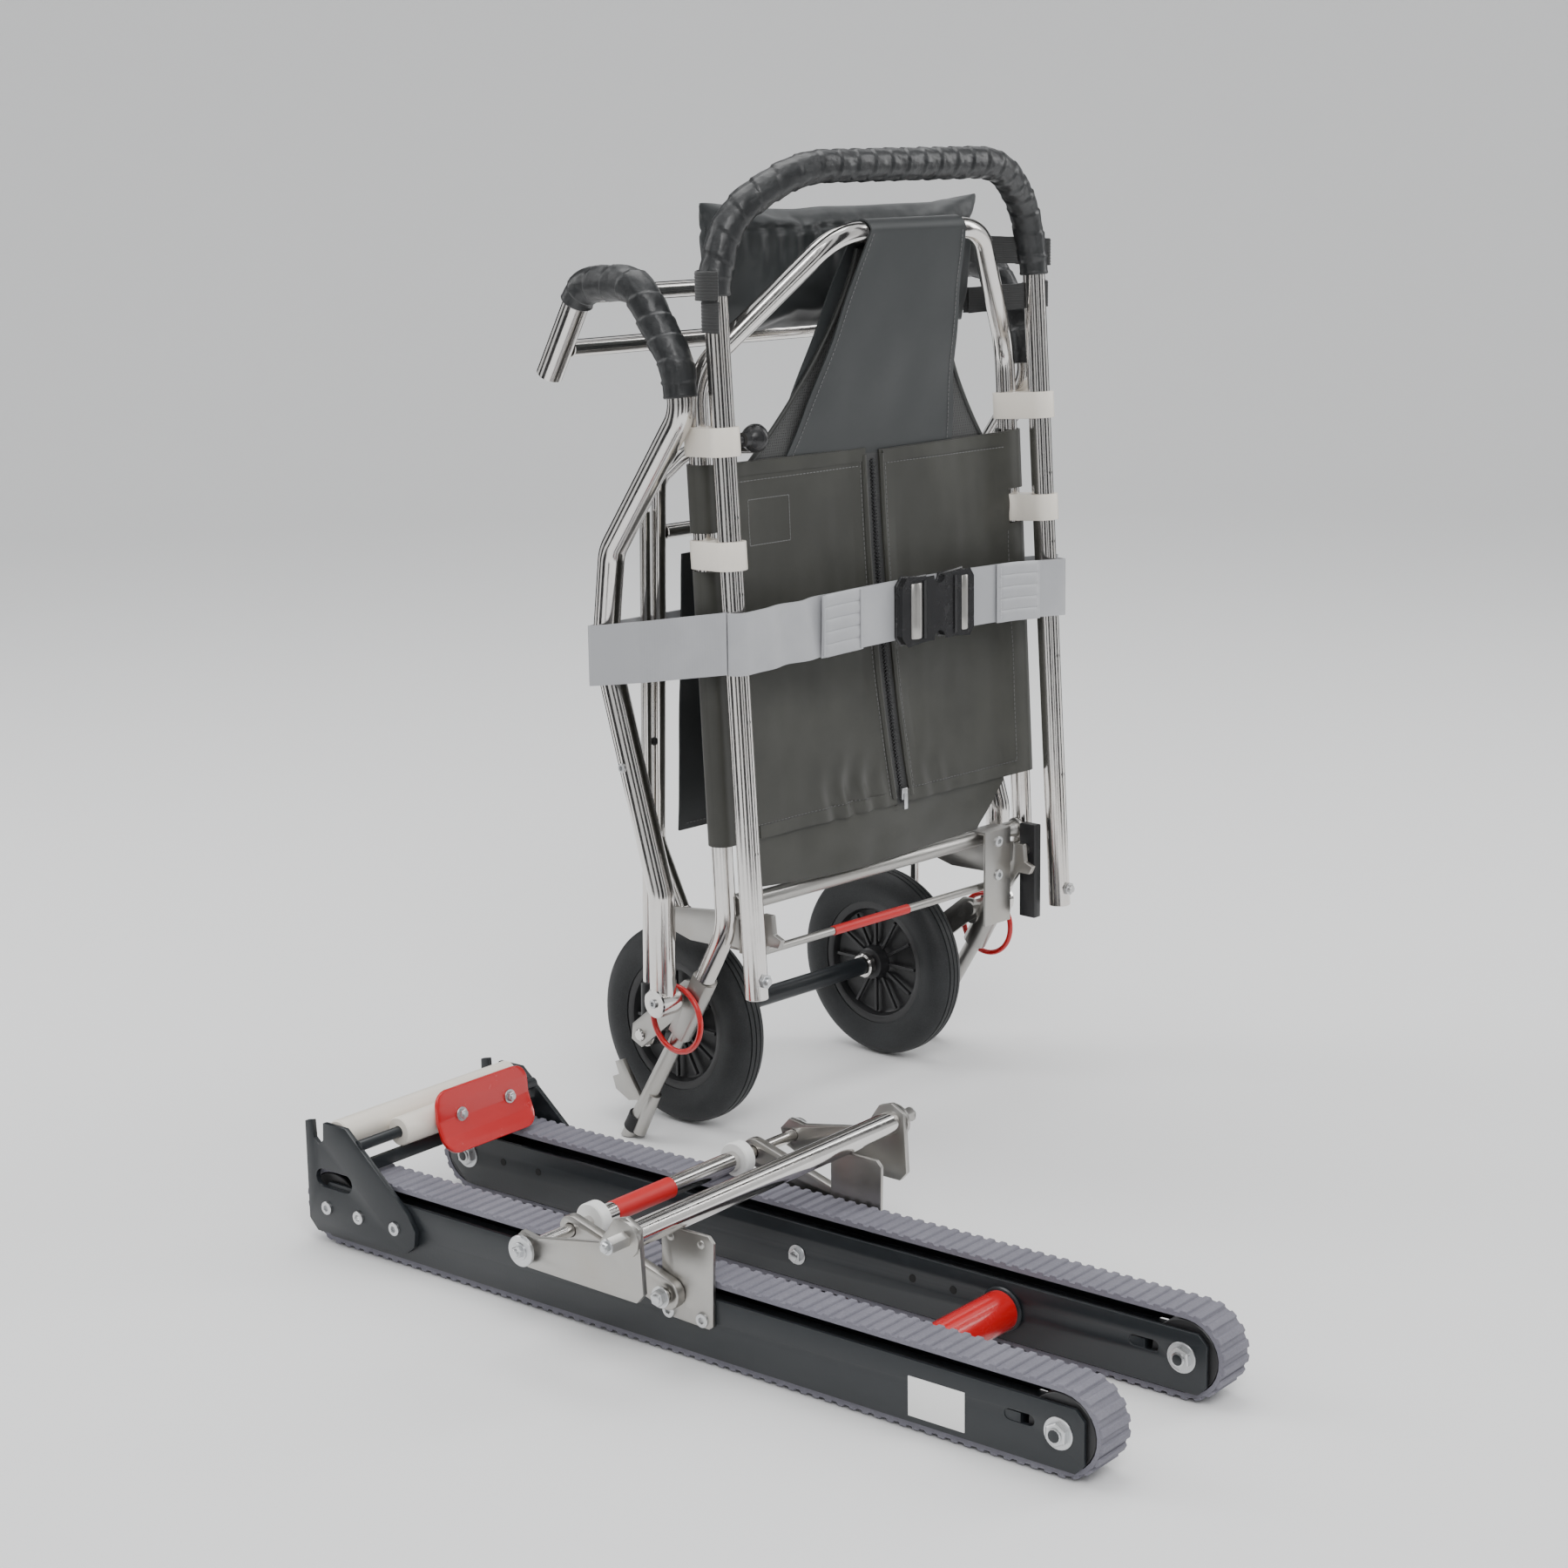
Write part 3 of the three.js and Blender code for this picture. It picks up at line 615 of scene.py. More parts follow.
def socketHead(radius, height, key):
    # a round head with a six-sided hole in its face
    n = 24
    outer = upright([(0, radius), (height - 0.5, radius), (height, radius - 0.6)], n)
    outer.faces.pop()
    base = len(outer.points)
    rim = base - n
    axis = Vector((0, 0, 1))
    side = axis.orthogonal().normalized()
    up = axis.cross(side)
    for depth in (height, height * 0.1):
        for k in range(n):
            a = 2 * math.pi * k / n
            reach = key / math.cos((a + math.pi / 6) % (math.pi / 3) - math.pi / 6)
            outer.points.append(tuple((side * math.cos(a) + up * math.sin(a)) * reach + axis * depth))
    for k in range(n):
        j = (k + 1) % n
        outer.faces.append([rim + k, rim + j, base + j, base + k])
        outer.faces.append([base + k, base + j, base + n + j, base + n + k])
    outer.faces.append([base + n + k for k in range(n)])
    return outer


def hexHead(across, height, washer):
    # a washer, the nut and the end of its bolt
    start = 1.2
    top = start + height
    shape = Shape().add(discShape(washer, start, 0.3))
    shape.add(upright([(start, across), (top - 0.8, across), (top, across * 0.88)], 6))
    end = [(start, across * 0.62), (top + 0.9, across * 0.62), (top + 1.4, across * 0.5)]
    return shape.add(upright(end, 20))


hardware = {
    "rivet": template("rivetHead", upright([(0, 3.4), (0.9, 3.0), (1.5, 1.8), (1.7, 0.4)], 20)),
    "socket": template("socketScrew", socketHead(7.0, 2.8, 3.2)),
    "smallSocket": template("smallSocketScrew", socketHead(4.8, 2.6, 2.3)),
    "hex": template("hexNut", hexHead(7.2, 5.0, 9.6)),
    "endNut": template("endNut", hexHead(9.6, 4.4, 12.6)),
    "smallHex": template("smallHexNut", hexHead(4.6, 3.2, 6.4)),
    # a thin near-black disc laid over a hole as painted shade for its inside
    "holeShade": template("drilledHole", discShape(2.6, 0.3, 0.1)),
    "stitch": template("stitch", blockShape((-1.5, -0.32, -0.2), (1.5, 0.32, 0.28)), 0.12),
    "bumper": template("bumperDome", upright([(0, 5.6), (2.2, 5.6), (4.2, 4.4), (5.6, 2.2), (6, 0.3)], 20)),
    "zipTooth": template("zipTooth", blockShape((-1.5, -0.55, -0.3), (1.5, 0.55, 1.1)), 0.15),
    "rimRib": template("rimRib", blockShape((18, -1.6, -4), (54, 1.6, 0)), 0.4),
}


def stitchRow(points, facing, spacing=4.6):
    line = spaced([Vector(p) for p in points], spacing)
    return [((a + b) / 2, facing, b - a) for a, b in zip(line, line[1:])]


# wheels
wheelDims = dict(reach=147, height=100, ribs=12, ribDepth=11.5)
# half sections of tyre and hubcap, from the outer edge to the middle
treadHalf = [(-15, 65.8), (-17.5, 72), (-19, 80), (-18.6, 86), (-17, 92), (-14, 96.2), (-10, 98.8),
             (-7, 99.6), (-6.6, 98.6), (-5.6, 98.6), (-5.2, 99.9), (-0.9, 100), (-0.5, 99)]
hubcapHalf = [(-22, 6.3), (-22, 14.5), (-20.5, 16.5), (-9, 18.5), (-6, 22), (-4.5, 27), (-4, 52),
              (-6, 55.5), (-13, 58), (-14, 60), (-14, 65.7)]


def closedProfile(half):
    return half + [(-along, radius) for along, radius in reversed(half)] + half[:1]


for side, s in sidePairs:
    centre = (s * wheelDims["reach"], 0, wheelDims["height"])
    piece(f"tyre{side.title()}", turnedShape(closedProfile(treadHalf), centre, sides=96), "tyre",
          f"wheel_{side}", f"tyre_{side}")
    piece(f"rim{side.title()}", turnedShape(closedProfile(hubcapHalf), centre, sides=96), "plastic",
          f"wheel_{side}", f"rim_{side}")
    spots = []
    for k in range(wheelDims["ribs"]):
        a = 2 * math.pi * k / wheelDims["ribs"]
        for face in (-1, 1):
            spot = (centre[0] + face * wheelDims["ribDepth"], 0, wheelDims["height"])
            spots.append((spot, (face, 0, 0), Vector((0, math.cos(a), math.sin(a)))))
    copies(f"rimRibs{side.title()}", "rimRib", spots, "plastic", f"wheel_{side}")

# the axle: a dark sleeve between the wheels, bright collars, cap nuts outside
axleAt = (0, wheelDims["height"])
bright = Shape().add(barShape(-209, 209, *axleAt, 6, 1.2))
knuckles = Shape()
for s in (-1, 1):
    bright.add(barShape(*sorted((s * 114, s * 124)), *axleAt, 13, 1.6))
    knuckle = [(-3, 12.2), (-2, 13.4), (2, 13.4), (3, 12.2)]
    knuckles.add(turnedShape(knuckle, (s * 188, *axleAt)))
piece("axleRod", bright, "polished", "chair_frame", "axle")
piece("axleSleeve", barShape(-113.5, 113.5, *axleAt, 9.4, 0.8), "beam")
piece("axleKnuckles", knuckles, "rubber")
print("wheels and axle")


# back frame
def backY(z):
    return -129 + 0.0526 * (z - 312)


def postY(z):
    return -177 + 0.059 * (z - 175)


tubeX, postX, frontX, strutX = 218, 224, 246, 196
backCorners = mirroredLine([(-tubeX, -103.2, 179), (-tubeX, backY(238), 232),
                            (-tubeX, backY(745), 745), (-100, -172, 866)])
piece("backTube", tubeShape(bentLine(backCorners, 62, 4), 10, 40), "polished", "chair_frame", "back_tube")
for node in ("crossbar", "foot_left", "foot_right", "seat_gusset_left", "seat_gusset_right"):
    edgedCopy(node, "satin", 0.6)
for level in ("upper", "lower"):
    for side, s in sidePairs:
        edgedCopy(f"collar_{level}_{side}", "ivory", 1.6)
edgedCopy("latch_block", "plastic", 1.2)
edgedCopy("push_bar", "satin", 0.5)
piece("pushBand", barShape(-78, 31, -138, 203, 4.7, 0.3), "mark", "push_bar")

# weld beads where the crossbar meets the posts, and rubber shoes on the feet
beads, shoes = Shape(), Shape()
bead = ((204, 8), (204.8, 9.8), (206.2, 10.6), (207.6, 10.2), (207.8, 8))
leg = ((-7.5, 24), (-2, 14), (1.6, 8.2))
for s in (-1, 1):
    beads.add(turnedShape([(s * along, radius) for along, radius in bead], (0, backY(253), 253)))
    shoes.add(tubeShape([Vector((s * tubeX, y, z)) for y, z in leg], 9.6, 32))
piece("weldBeads", beads, "satin")
piece("footShoes", shoes, "rubber")

# the plunger: a knurled pull knob
knob = [(0, 0.2), (0.3, 4), (7, 4), (8, 6.5), (13.5, 7), (16.5, 10.4), (18, 11.2), (21.5, 12.8), (24, 13.1),
        (28, 12.8), (31, 10.9), (33.2, 7.6), (34, 3.5), (34, 0.2)]
piece("plungerKnob", turnedShape(knob, (-208, postY(687), 687), sides=40), "gloss", "plunger", "plunger")

# telescopic handle
handleCorners = mirroredLine([(-postX, postY(175), 175), (-postX, postY(830), 830),
                              (-206, -140, 886), (-140, -163, 926)])
piece("handleTube", tubeShape(bentLine(handleCorners, 110, 4), 11, 40), "polished", "handle", "handle_tube")
stops = Shape()
for s in (-1, 1):
    stopAt = (s * postX, postY(194), 194)
    stops.add(turnedShape([(0, 4), (17, 4), (18, 3.2)], stopAt, (0, -1, 0), 24))
    stops.add(turnedShape([(10.6, 6.8), (14.4, 6.8), (14.8, 6.3)], stopAt, (0, -1, 0), 6))
piece("stopBolts", stops, "zinc", "handle")
gripCorners = [(-postX, postY(815), 815)] + handleCorners[1:-1] + [(postX, postY(815), 815)]
gripLine = spaced(bentLine(gripCorners, 110, 3), 1.6)


def wrapped(base, pitch, lap, plain, total):
    # radius of overlapping spiral turns between two plain sleeves at the ends
    def radius(s, a):
        turnShare = (s / pitch + a / (2 * math.pi)) % 1.0
        step = lap * (1 - turnShare) if turnShare > 0.06 else lap * turnShare / 0.06
        fade = min(max((min(s, total - s) - plain) / 3, 0), 1)
        crease = 0.6 * noiseAt(Vector((s / 9, 3 * math.cos(a), 3 * math.sin(a))))
        crease += 0.22 * noiseAt(Vector((s / 3.1, 7 * math.cos(a), 7 * math.sin(a))))
        rim = 0.5 * math.exp(-((min(s, total - s) - 1.5) / 1.2) ** 2)
        return base + fade * (step + crease) - (1 - fade) * 0.35 + rim
    return radius


grip = tubeShape(gripLine, wrapped(14.2, 23, 1.5, 14, lengths(gripLine)[-1]), 56)
piece("handleGrip", grip, "grip", "handle", "handle_grip", sharp=55)
# painted shade: dark discs over the holes in the posts stand in for the shade inside them
holes = [((s * postX, postY(z) - 10.66, z), (0, -1, 0.059), (1, 0, 0))
         for z in (620, 551, 435, 313) for s in (-1, 1)]
copies("postHoles", "holeShade", holes, "paintedShade", "handle", size=0.9)
print("back frame and handle")

# front frame
frontCorners = [(59, 738), (8, 824), (-62, 826), (-112, 756), (-117, 712), (-20, 580), (-8, 488),
                (-76, 262), (-75, 158)]
for side, s in sidePairs:
    run = bentLine([(s * frontX, y, z) for y, z in frontCorners], 34, 4)
    front = tubeShape(run, 12.5, 40)
    front.add(turnedShape([(-12.5, 12.6), (-11.3, 14), (11.3, 14), (12.5, 12.6)], (s * frontX, -75, 158)))
    piece(f"frontTube{side.title()}", front, "polished", "front_frame", f"front_tube_{side}")
    gripSide = [(s * frontX, y, z) for y, z in [(18.7, 805.96)] + frontCorners[1:4] + [(-115.4, 726)]]
    line = spaced(bentLine(gripSide, 34, 3), 1.5)
    grip = tubeShape(line, wrapped(15.5, 22, 1.6, 12, lengths(line)[-1]), 56)
    piece(f"frontGrip{side.title()}", grip, "grip", "front_frame", f"front_grip_{side}", sharp=55)
    # painted shade: a near-black plug on the open end of the tube stands in for the shade inside it
    plug = turnedShape([(-0.9, 9.4), (-0.7, 10.2), (0.5, 10.2)], run[0], run[1] - run[0], 36)
    piece(f"frontMouth{side.title()}", plug, "paintedShade", "front_frame")
piece("footrestUpper", barShape(-228.7, 228.7, 15, 813, 8), "polished", "front_frame", "footrest_upper")
piece("footrestLower", barShape(-233.2, 233.2, 44, 763, 8.5), "polished", "front_frame", "footrest_lower")
bolts = [((s * x, y, z), (s, 0, 0), (0, 0, 1))
         for x, y, z in ((258.3, -40.4, 380), (258.4, -75, 158)) for s in (-1, 1)]
copies("frontBolts", "smallSocket", bolts, "zinc", "front_frame", size=0.9)

# seat frame and struts
seatCorners = mirroredLine([(-180, -36, 228), (-180, -4, 290), (-180, -16, 640), (-172, -52, 672),
                            (-90, -78, 668)])
seatTube = tubeShape(bentLine(seatCorners, 26, 5), 7, 32)
for s in (-1, 1):
    eye = closedProfile([(-7, 4.3), (-7, 8.2), (-6.2, 9)])
    seatTube.add(turnedShape(eye, (s * 180, -36, 222)))
piece("seatTube", seatTube, "polished", "seat", "seat_frame")
piece("seatBar", barShape(-172.7, 172.7, -14, 590, 7), "polished", "seat", "seat_crossbar")
domes = [((s * 186.4, y, z), (s, 0, 0), (0, 0, 1))
         for y, z in ((-16, 640), (-9, 390)) for s in (-1, 1)]
copies("seatBumpers", "bumper", domes, "rubber", "seat", size=0.72)
for side, s in sidePairs:
    strut, foot = (tubeShape([Vector((s * strutX, y, z)) for y, z in line], radius, 28)
                   for radius, line in ((5, ((-1, 108), (-7, 360), (-13, 612))),
                                        (7.2, ((-1.2, 116), (-1.6, 134), (-2.1, 152)))))
    eye = closedProfile([(-5.2, 6.4), (-5.2, 11.8), (-4, 13)])
    strut.add(turnedShape(eye, (s * strutX, 0, 100)))
    piece(f"strut{side.title()}Rod", strut, "polished", f"strut_{side}", f"strut_{side}")
    piece(f"strutSleeve{side.title()}", foot, "plastic", f"strut_{side}")

# release rings, hung on the pivot bosses
ringDims = dict(reach=32, wire=2.8, boss=7.5, slack=0.3, around=72, section=16)
for side, s in sidePairs:
    hang = ringDims["reach"] - ringDims["wire"] - ringDims["boss"] - ringDims["slack"]
    centre = Vector((s * 229.3, -75, 158 - hang))
    rings = []
    for a in stepped(0, 2 * math.pi, ringDims["around"])[:-1]:
        ring = []
        for b in stepped(0, 2 * math.pi, ringDims["section"])[:-1]:
            out = ringDims["reach"] + ringDims["wire"] * math.cos(b)
            across = ringDims["wire"] * math.sin(b)
            ring.append(centre + Vector((across, out * math.cos(a), out * math.sin(a))))
        rings.append(ring)
    piece(f"pullRing{side.title()}", closedRings(rings, True), "red", f"ring_{side}", f"pull_ring_{side}")
print("front frame, seat, struts and rings")


# track unit
beltDims = dict(inner=30.3, outer=33.85, base=33.8, tooth=2.2, half=18.5, teeth=146, cells=240, z=36,
                end=384, mid=84.5)


def loopLine(radius, count):
    # points round both pulleys with the direction outward
    straight, turn = 2 * beltDims["end"], math.pi * radius
    total = 2 * (straight + turn)
    line = []
    for i in range(count):
        d = total * i / count
        flip = d >= straight + turn
        if flip:
            d -= straight + turn
        a = max(0.0, d - straight) / radius
        y = -beltDims["end"] + d if d < straight else beltDims["end"] + radius * math.sin(a)
        z = -radius if d < straight else -radius * math.cos(a)
        out = Vector((0, math.sin(a), -math.cos(a)))
        if flip:
            y, z, out = -y, -z, -out
        line.append((Vector((0, y, z)), out))
    return line


def toothShape(half, low, high):
    # one belt tooth: a ridge with sloping flanks and rounded shoulders
    profile = [(-4.1, low), (-3.5, low + 0.25), (-3.0, high - 0.45), (-2.4, high),
               (2.4, high), (3.0, high - 0.45), (3.5, low + 0.25), (4.1, low)]
    rings = [[(u, x, h) for u, h in profile] for x in (-half, -half + 0.6, half - 0.6, half)]
    for k in (0, 3):
        rings[k] = [(u * 0.93, x, low + (h - low) * 0.8) for u, x, h in rings[k]]
    return closedRings(rings)


hardware["beltTooth"] = template("beltTooth", toothShape(beltDims["half"], 0, beltDims["tooth"]))
for side, s in sidePairs:
    mid, half, z = s * beltDims["mid"], beltDims["half"], beltDims["z"]
    inner, outer = (loopLine(beltDims[k], beltDims["cells"]) for k in ("inner", "outer"))
    low, high = mid - half, mid + half
    band = [[(x, p.y, p.z + z) for x, p in ((low, i), (low, o), (high, o), (high, i))]
            for (i, _), (o, _) in zip(inner, outer)]
    piece(f"beltBand{side.title()}", closedRings(band, True), "belt", "track_unit", f"belt_{side}")
    spots = [((mid, p.y, p.z + z), out, (0, out.z, -out.y))
             for p, out in loopLine(beltDims["base"], beltDims["teeth"])]
    copies(f"beltTeeth{side.title()}", "beltTooth", spots, "belt", "track_unit")

for side, s in sidePairs:
    edgedCopy(f"beam_{side}", "beam", 0.7)
    edgedCopy(f"guide_plate_{side}", "satin", 0.6)
    edgedCopy(f"link_arm_{side}", "satin", 0.8)
    edgedCopy(f"crank_{side}", "satin", 0.6)
    for end in ("front", "rear"):
        node = f"pulley_{end}_{side}"
        centre = (s * beltDims["mid"], beltDims["end"] * (1 if end == "rear" else -1), beltDims["z"])
        drum = turnedShape(closedProfile([(-18.5, 5.3), (-18.5, 28.6), (-17.8, 29.3)]), centre, sides=64)
        body = body_of(frame["nodes"][node])[0]
        piece(f"drum{end.title()}{side.title()}", drum, "plastic", body, node)
edgedCopy("rear_bracket", "beam", 0.7)
tubeAt = (-218, 34)
piece("redTube", barShape(-61.7, 61.7, *tubeAt, 17, 0.5, 56), "red", "track_unit", "cross_tube")
welds = Shape()
weldProfile = ((61.8, 16.9), (61.2, 18.6), (59.6, 19.4), (58, 18.6), (57.2, 16.9))
for s in (-1, 1):
    welds.add(turnedShape([(s * along, radius) for along, radius in weldProfile], (0, *tubeAt), sides=56))
piece("tubeWelds", welds, "beam", "track_unit")
roller = closedProfile([(-106.5, 5.3), (-106.5, 11.8), (-105.2, 13)])
piece("nylonRoller", turnedShape(roller, (0, 372, 104.5), sides=56), "ivory", "roller", "roller")
boss = closedProfile([(-73, 5.3), (-73, 12), (-72, 13)])
piece("leverSleeve", turnedShape(boss, (11, 343, 101), sides=56), "ivory", "lever", "lever_boss")

# the red lever: a folded plate with rounded corners
leverDims = dict(start=-33, wide=115, top=131, low=75.8, corner=15.0)
leverLine = [Vector((0, y, z)) for y, z in ((327.6, 131), (325.2, 118), (324.0, 103.4), (318.6, 89.8),
                                            (314.2, 82.2), (311.2, 75.8))]


def leverAt(u, v):
    p = onLine(leverLine, v)
    corner = leverDims["corner"]
    past = max(leverDims["low"] + corner - p.z, p.z - leverDims["top"] + corner, 0.0)
    inset = corner - math.sqrt(max(0.0, corner ** 2 - past ** 2))
    return (leverDims["start"] + inset + (leverDims["wide"] - 2 * inset) * u, p.y, p.z)


piece("leverPlate", gridShape(22, 48, leverAt), "red", "lever", "lever_plate", thick=3.4, bevel=0.8)
leverBolts = [((x, 322.2, 106), (0, -1, 0.1), (0, 0, 1)) for x in (-4, 57)]
copies("leverBolts", "smallHex", leverBolts, "zinc", "lever")

# the lock rod with its nylon discs, and the carriage tube
rodAt, tubeAt = (82, 88), (-27, 122.1)
piece("lockRod", barShape(-179, 179, *rodAt, 5.4), "polished", "links", "lock_rod")
discs, ends = Shape(), Shape()
for s in (-1, 1):
    discs.add(barShape(*sorted((s * 86, s * 98)), *rodAt, 15.4, 1.0, 48))
    ends.add(barShape(*sorted((s * 176, s * 180)), *rodAt, 13, 0.8, 40))
piece("nylonDiscs", discs, "nylon", "links")
piece("rodWashers", ends, "zinc", "links")
piece("rodSleeve", barShape(-85.5, 85.5, *rodAt, 8.6, 0.8), "polished", "links")
piece("rodMark", barShape(-70, 2, *rodAt, 9.0, 0.3), "mark", "links")
piece("carriageTube", barShape(-167.7, 167.7, *tubeAt, 10.5, 0.8, 48), "polished", "cranks",
      "carriage_tube")

# bolts, rivets and screws: x, places along y, z, the way that they face along x, and their tilt
def sideSpots(*rows):
    return [((s * x, y, z), (s * face, 0, 0), (0, 1, tilt))
            for s in (-1, 1) for x, places, z, face, tilt in rows for y in places]


screws = sideSpots((112.0, (384, 344, 299), 36, 1, 0), (111.0, (-15, -50), 40, 1, 0))
copies("trackScrews", "socket", screws, "zinc", "track_unit", size=0.86, jitter=0.5)
copies("trackBolts", "hex", sideSpots((61.9, (-7,), 30, -1, 0.2)), "zinc", "track_unit",
      size=0.9, jitter=0.5)
copies("axleNuts", "endNut", sideSpots((107, (-384,), 36, 1, 0.3), (62, (-384, 384), 36, -1, 0.1)), "zinc",
      "track_unit")
copies("plateRivets", "rivet", sideSpots((111.1, (-18, -50), 103, 1, 0)), "satin", "track_unit", size=1.1)
# painted shade: dark discs over the holes in the beams stand in for the shade inside them
copies("beamHoles", "holeShade", sideSpots((61.9, (338, 294, -128, -169), 38, -1, 0)), "paintedShade", "track_unit",
      size=1.3)
copies("crankNuts", "smallHex", sideSpots((195, tubeAt[:1], tubeAt[1], 1, 0)), "zinc", "cranks")
copies("rodNuts", "smallHex", sideSpots((180, rodAt[:1], rodAt[1], 1, 0.4)), "zinc", "links", size=1.15)
copies("linkBolts", "hex", sideSpots((126.9, (-20,), 57, 1, 0)), "zinc", "track_unit",
      size=0.95)
latchScrews = [((158, -149.0, z), (0, -1, 0), (1, 0, 0)) for z in (250, 215)]
copies("latchScrews", "socket", latchScrews, "zinc", size=0.8)
blockScrews = [((206.6, -156, z), (1, 0, 0), (0, 1, 0)) for z in (246, 190)]
copies("blockScrews", "smallSocket", blockScrews, "zinc", size=0.9)
label = blockShape((-107.9, -301, 13), (-107.0, -249, 45))
piece("blankLabel", label, "label", "track_unit", bevel=0.3)
print("track unit")


# soft pieces on the back
panelDims = dict(low=313, high=660, tube=tubeX, wrap=12.0, turn=265, zipHalf=9.5, rear=11.8,
                 notch=(568, 602), beyond=202, across=150, down=120)


def zipX(z):
    # the zip runs a little off the middle and bows to one side near its foot
    t = max(0.0, (650 - z) / 334)
    return 21 * t ** 2.6 + 1.5 * t


def panelRelief(x, z, side):
    # slack, puckers at the zip's foot, the welts, a fold, creases at the collars and a slight sag
    pull = 0.9 * noiseAt(Vector((x / 70, side * 3.1, z / 150)))
    pull += 0.3 * noiseAt(Vector((x / 17, 1.7, z / 60)))
    nearFoot = math.exp(-((z - 326) / 26) ** 2) * math.exp(-((x - 50 * side) / 42) ** 2)
    pucker = (3.0 if side < 0 else 1.0) * nearFoot * math.sin(x / 4.6 + 0.8 * math.sin(z / 13))
    welt = math.exp(-((abs(x - zipX(z)) - 13) / 2.2) ** 2) * 0.9
    fold = 1.5 * math.exp(-((z - (430 + side * 0.25 * x)) / 60) ** 2) * math.sin(z / 21 + x / 90 + side)
    collar = 1.8 * math.exp(-((abs(x) - 196) / 20) ** 2) * math.exp(-((z - 585) / 30) ** 2)
    sag = 2.6 * math.sin(math.pi * min(max((z - 313) / 347, 0), 1)) * math.cos(x / 140)
    return 1.4 * pull + pucker - welt * 0.6 + fold + collar * math.sin(z / 5) * 0.6 + sag


def panelPoint(side, u, v):
    # u runs from the zip outward, then round the back tube; v runs up
    z = panelDims["low"] + (panelDims["high"] - panelDims["low"]) * v
    z += (2.2 if side < 0 else -1.0) * v * (1 - u) + 4.5 * v * u * (1 if side < 0 else 0.4)
    tube, wrap = panelDims["tube"], panelDims["wrap"]
    startX = zipX(z) * side + panelDims["zipHalf"]
    flat = tube - startX
    turn = math.radians(panelDims["turn"])
    along = u * (flat + wrap * turn)
    y0 = backY(z)
    if along <= flat:
        x = startX + along
        ease = min(1.0, along / 20) * min(1.0, (flat - along) / 26)
        y = y0 - panelDims["rear"] + panelRelief(x * side, z, side) * ease
        return (side * x, y, z)
    a = (along - flat) / wrap
    return (side * (tube + wrap * math.sin(a)), y0 - wrap * math.cos(a), z)


def clearOfCollar(shape, face):
    x = sum(abs(shape.points[i][0]) for i in face) / len(face)
    z = sum(shape.points[i][2] for i in face) / len(face)
    low, high = panelDims["notch"]
    return not (low < z < high and x > panelDims["beyond"])


for side, s in sidePairs:
    shape = gridShape(panelDims["across"], panelDims["down"], lambda u, v, s=s: panelPoint(s, u, v))
    shape.faces = [f for f in shape.faces if clearOfCollar(shape, f)]
    standsFor = "back_panel" if s < 0 else ""
    piece(f"panel{side.title()}", shape, "cloth", "chair_frame", standsFor, thick=1.5,
                        sharp=60)


def facePoint(x, z, lift=0.0):
    # a point on the panel's rear face
    s = -1 if x < zipX(z) else 1
    inside = abs(x - zipX(z)) - panelDims["zipHalf"]
    ease = min(1.0, max(inside, 0) / 20) * min(1.0, max(panelDims["tube"] - abs(x), 0) / 26)
    return Vector((x, backY(z) - panelDims["rear"] - lift + panelRelief(x, z, s) * ease, z))


def stripShape(line, width, liftAt, cells=6):
    # a narrow strip on the panel that follows a line of (x, z)
    n = len(line) - 1

    def at(u, v):
        k = min(int(v * n), n - 1)
        f = v * n - k
        (x0, z0), (x1, z1) = line[k], line[k + 1]
        off = (u - 0.5) * width / math.hypot(x1 - x0, z1 - z0)
        return facePoint(x0 + (x1 - x0) * f + (z1 - z0) * off, z0 + (z1 - z0) * f - (x1 - x0) * off,
                         liftAt(u, v))
    return gridShape(cells, max(12, n * 2), at)


hems = Shape()
for s in (-1, 1):
    top = [(s * (14 + 4.6 * k), panelPoint(s, (4 + 4.45 * k) / 255, 1.0)[2] - 7) for k in range(41)]
    low = [(s * ((22 if s > 0 else 4) + 4.4 * k), 320) for k in range(41)]
    for line in (top, low):
        hems.add(stripShape(line, 12, lambda u, v: 1.25 + 0.25 * noiseAt(Vector((v * 14, u, 1)))))
piece("panelHems", hems, "cloth", thick=0.9, sharp=60)
welts = Shape()
for s in (-1, 1):
    line = [(zipX(z) + s * 12.4, z) for z in stepped(319, 336, 90)]
    welts.add(stripShape(line, 5.5, lambda u, v: 1.0 + 1.3 * math.sin(math.pi * u)))
piece("zipWelts", welts, "cloth", thick=1.0, sharp=60)
tape = [(zipX(z), z) for z in stepped(313, 344, 100)]
piece("zipTape", stripShape(tape, 21, lambda u, v: -1.4), "elastic", thick=0.8, sharp=60)
teeth = []
for k, z in enumerate(stepped(322, 330, 190)[:-1]):
    slope = (zipX(z - 1) - zipX(z + 1)) / 2
    teeth.append((facePoint(zipX(z) + (0.9 if k % 2 else -0.9), z, -0.8), (0, -1, 0), (1, 0, slope)))
copies("zipTeeth", "zipTooth", teeth, "gloss", size=1.25)
pullAt = facePoint(zipX(322), 322, 0.6)
pull = Shape().add(blockShape((-4.2, -3.2, -5.5), (4.2, 0.6, 6)))
pull.add(blockShape((-2.6, -4.8, -15), (2.6, -3.0, 1)))
pull.moved(lambda p: p + pullAt)
piece("zipPull", pull, "zinc", bevel=0.8)

